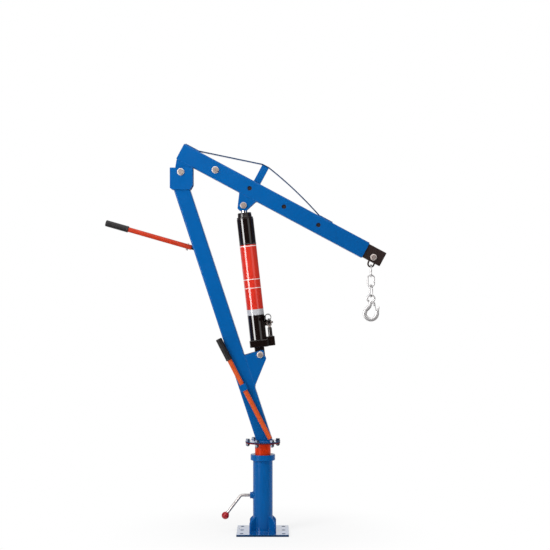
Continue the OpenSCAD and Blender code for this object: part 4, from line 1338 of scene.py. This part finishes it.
rows = eased(hook_rows, 6)
section = squircle(32, 3.0)
rings = []
for i, (x, z, half_in, half_out) in enumerate(rows):
    a, b = rows[max(i - 1, 0)], rows[min(i + 1, len(rows) - 1)]
    out = upright(Vector((b[0] - a[0], 0, b[1] - a[1])).normalized())
    centre = Vector((x, 0, z))
    rings.append([centre + out * half_in * p + Vector((0, half_out * q, 0)) for p, q in section])
hook_place = Matrix.Translation((hook_x, 0, bowl_z)) @ Matrix.Scale(MM, 4)
forging = new_object("load_hook_forged", lofted(rings), hook_place)
eye_rings = arc((EYE_OUT - EYE_WIRE / 2, 0), EYE_WIRE / 2, 0, 360, 28)[:-1]
eye = new_object("load_hook_eye", spun(eye_rings, 96, closed=True),
                 Matrix.Translation((hook_x, 0, eye_z)) @ TO_FRONT)
EAR_REACH, EAR_DROP, EAR_RADII = 0.014, 0.001, (0.0042, 0.0036)
PIN_R, PIN_HALF = 0.0025, 0.009
hinge = Vector(joints["latch_open"]["pos_m"])
ear_path = [Vector((hinge.x - EAR_REACH, 0, hinge.z - EAR_DROP)), Vector((hinge.x, 0, hinge.z))]
ear = new_object("load_hook_ear", lofted(swept(ear_path, EAR_RADII, 24)))
pin = new_object("load_hook_pin", shank(PIN_R, -PIN_HALF, PIN_HALF),
                 Matrix.Translation(hinge) @ TO_FRONT)


def united(obj, *others):
    """Fuses closed meshes into one skin."""
    for other in others:
        fuse = obj.modifiers.new("fuse", "BOOLEAN")
        fuse.operation = "UNION"
        fuse.solver = "EXACT"
        fuse.object = other
    apply_modifiers(obj)
    for other in others:
        bpy.data.objects.remove(other)
    return obj


united(forging, eye, ear, pin)
finish_piece(forging, "chain", "load_hook")
print("hook height, mm", round((hook_high.z - hook_low.z) / MM, 1))

# %% [markdown]
# ## Floor and light
# The floor is a pale sheet that fades to plain white away from the crane, so that no horizon shows
# and the shadow near the foot stays. In a mirror, what lies ahead of the crane is dark and what lies
# behind it is bright, as in a studio with a black front, so gloss paint stays deep in the middle and
# turns pale along its far edge. A tall lamp ahead and to the left draws the thin line down the ram.

# %% Floor
def mirror_rays(tree):
    """The kinds of a ray, and one where it comes off a mirror or through glass."""
    rays = add(tree, "ShaderNodeLightPath").outputs
    return rays, math_node(tree, "MAXIMUM", rays["Is Glossy Ray"], rays["Is Transmission Ray"])


FLOOR_HALF, FADE_START, FADE_END = 14, 0.12, 0.7
bm = bmesh.new()
bmesh.ops.create_grid(bm, x_segments=1, y_segments=1, size=FLOOR_HALF)
floor = new_object("studio_floor", bm)
material, tree, shader = new_material("studio_floor")
place = coordinates(tree)
away = add(tree, "ShaderNodeVectorMath", {0: place}, operation="LENGTH").outputs["Value"]
fade = remap(tree, away, FADE_START, FADE_END, 0.78, kind="SMOOTHSTEP")
depth = add(tree, "ShaderNodeSeparateXYZ", {0: place}).outputs["Y"]
rays, mirrored = mirror_rays(tree)
in_front = remap(tree, depth, -0.5, 0.0, 0.96, 0.0, "SMOOTHSTEP")
dark_front = math_node(tree, "MULTIPLY", mirrored, in_front)
level = math_node(tree, "SUBTRACT", 1.0, dark_front)
glow = add(tree, "ShaderNodeEmission", {"Color": (1, 1, 1, 1), "Strength": level})
seen = math_node(tree, "MULTIPLY", math_node(tree, "MAXIMUM", rays["Is Camera Ray"], mirrored),
                 math_node(tree, "MAXIMUM", fade, dark_front))
mixed = add(tree, "ShaderNodeMixShader", {0: seen, 1: shader.outputs[0], 2: glow.outputs[0]})
tree.links.new(mixed.outputs[0], tree.nodes["Material Output"].inputs["Surface"])
set_shader(shader, Base_Color=(0.93, 0.93, 0.93, 1), Roughness=0.9, Specular_IOR_Level=0.1)
floor.data.materials.append(material)

# %% Room
world = bpy.data.worlds.new("studio_room")
world.use_nodes = True
bpy.context.scene.world = world
tree = world.node_tree
room = tree.nodes["Background"]
room.inputs["Color"].default_value = (1, 1, 1, 1)
towards = add(tree, "ShaderNodeSeparateXYZ", {0: coordinates(tree)}).outputs
ROOM_LEVEL, FRONT_LEVEL, SIDE_LEVEL = 0.42, 0.03, 0.08
back_wall = remap(tree, towards["Y"], 0.7, 0.97, kind="SMOOTHSTEP")
ceiling = remap(tree, towards["Z"], 0.45, 0.9, kind="SMOOTHSTEP")
walls = remap(tree, towards["Y"], -0.7, 0.1, FRONT_LEVEL, SIDE_LEVEL, "SMOOTHSTEP")
lit = math_node(tree, "MAXIMUM", walls, math_node(tree, "MAXIMUM", back_wall, ceiling))
rays, mirrored = mirror_rays(tree)
change = math_node(tree, "SUBTRACT", lit, ROOM_LEVEL)
shown = math_node(tree, "MULTIPLY_ADD", change, mirrored, ROOM_LEVEL)
level = math_node(tree, "MAXIMUM", shown, rays["Is Camera Ray"])
tree.links.new(level, room.inputs["Strength"])


# %% Lamps
def lamp(name, place, target, width, height, radiance):
    """A soft box. Its radiance is what a mirror would show, so its power follows from its size."""
    data = bpy.data.lights.new(name, "AREA")
    data.shape = "RECTANGLE"
    data.size, data.size_y = width, height
    data.energy = radiance * width * height * math.pi
    obj = bpy.data.objects.new(name, data)
    obj.location = place
    obj.rotation_euler = (Vector(place) - Vector(target)).to_track_quat("Z", "Y").to_euler()
    bpy.context.scene.collection.objects.link(obj)
    return obj


strip = lamp("tall_strip", (-2.35, -2.15, 1.27), (0, 0, 1.27), 1.2, 2.2, 14.0)
strip.visible_diffuse = False
key = lamp("key", (-1.5, -1.6, 1.9), (-0.1, 0, 1.0), 0.8, 1.6, 8.2)
key.visible_glossy = False
sheet = lamp("front_top", (0.3, -3.0, 2.6), (0, 0, 0.95), 2.2, 1.0, 3.0)
sheet.visible_diffuse = False
lamp("broad_right", (2.6, -2.9, 1.6), (0, 0, 0.8), 1.8, 2.2, 1.1)
lamp("overhead", (0.0, -0.6, 3.4), (0, 0, 0.4), 2.6, 2.6, 1.3)
print("lamps", len(bpy.data.lights))
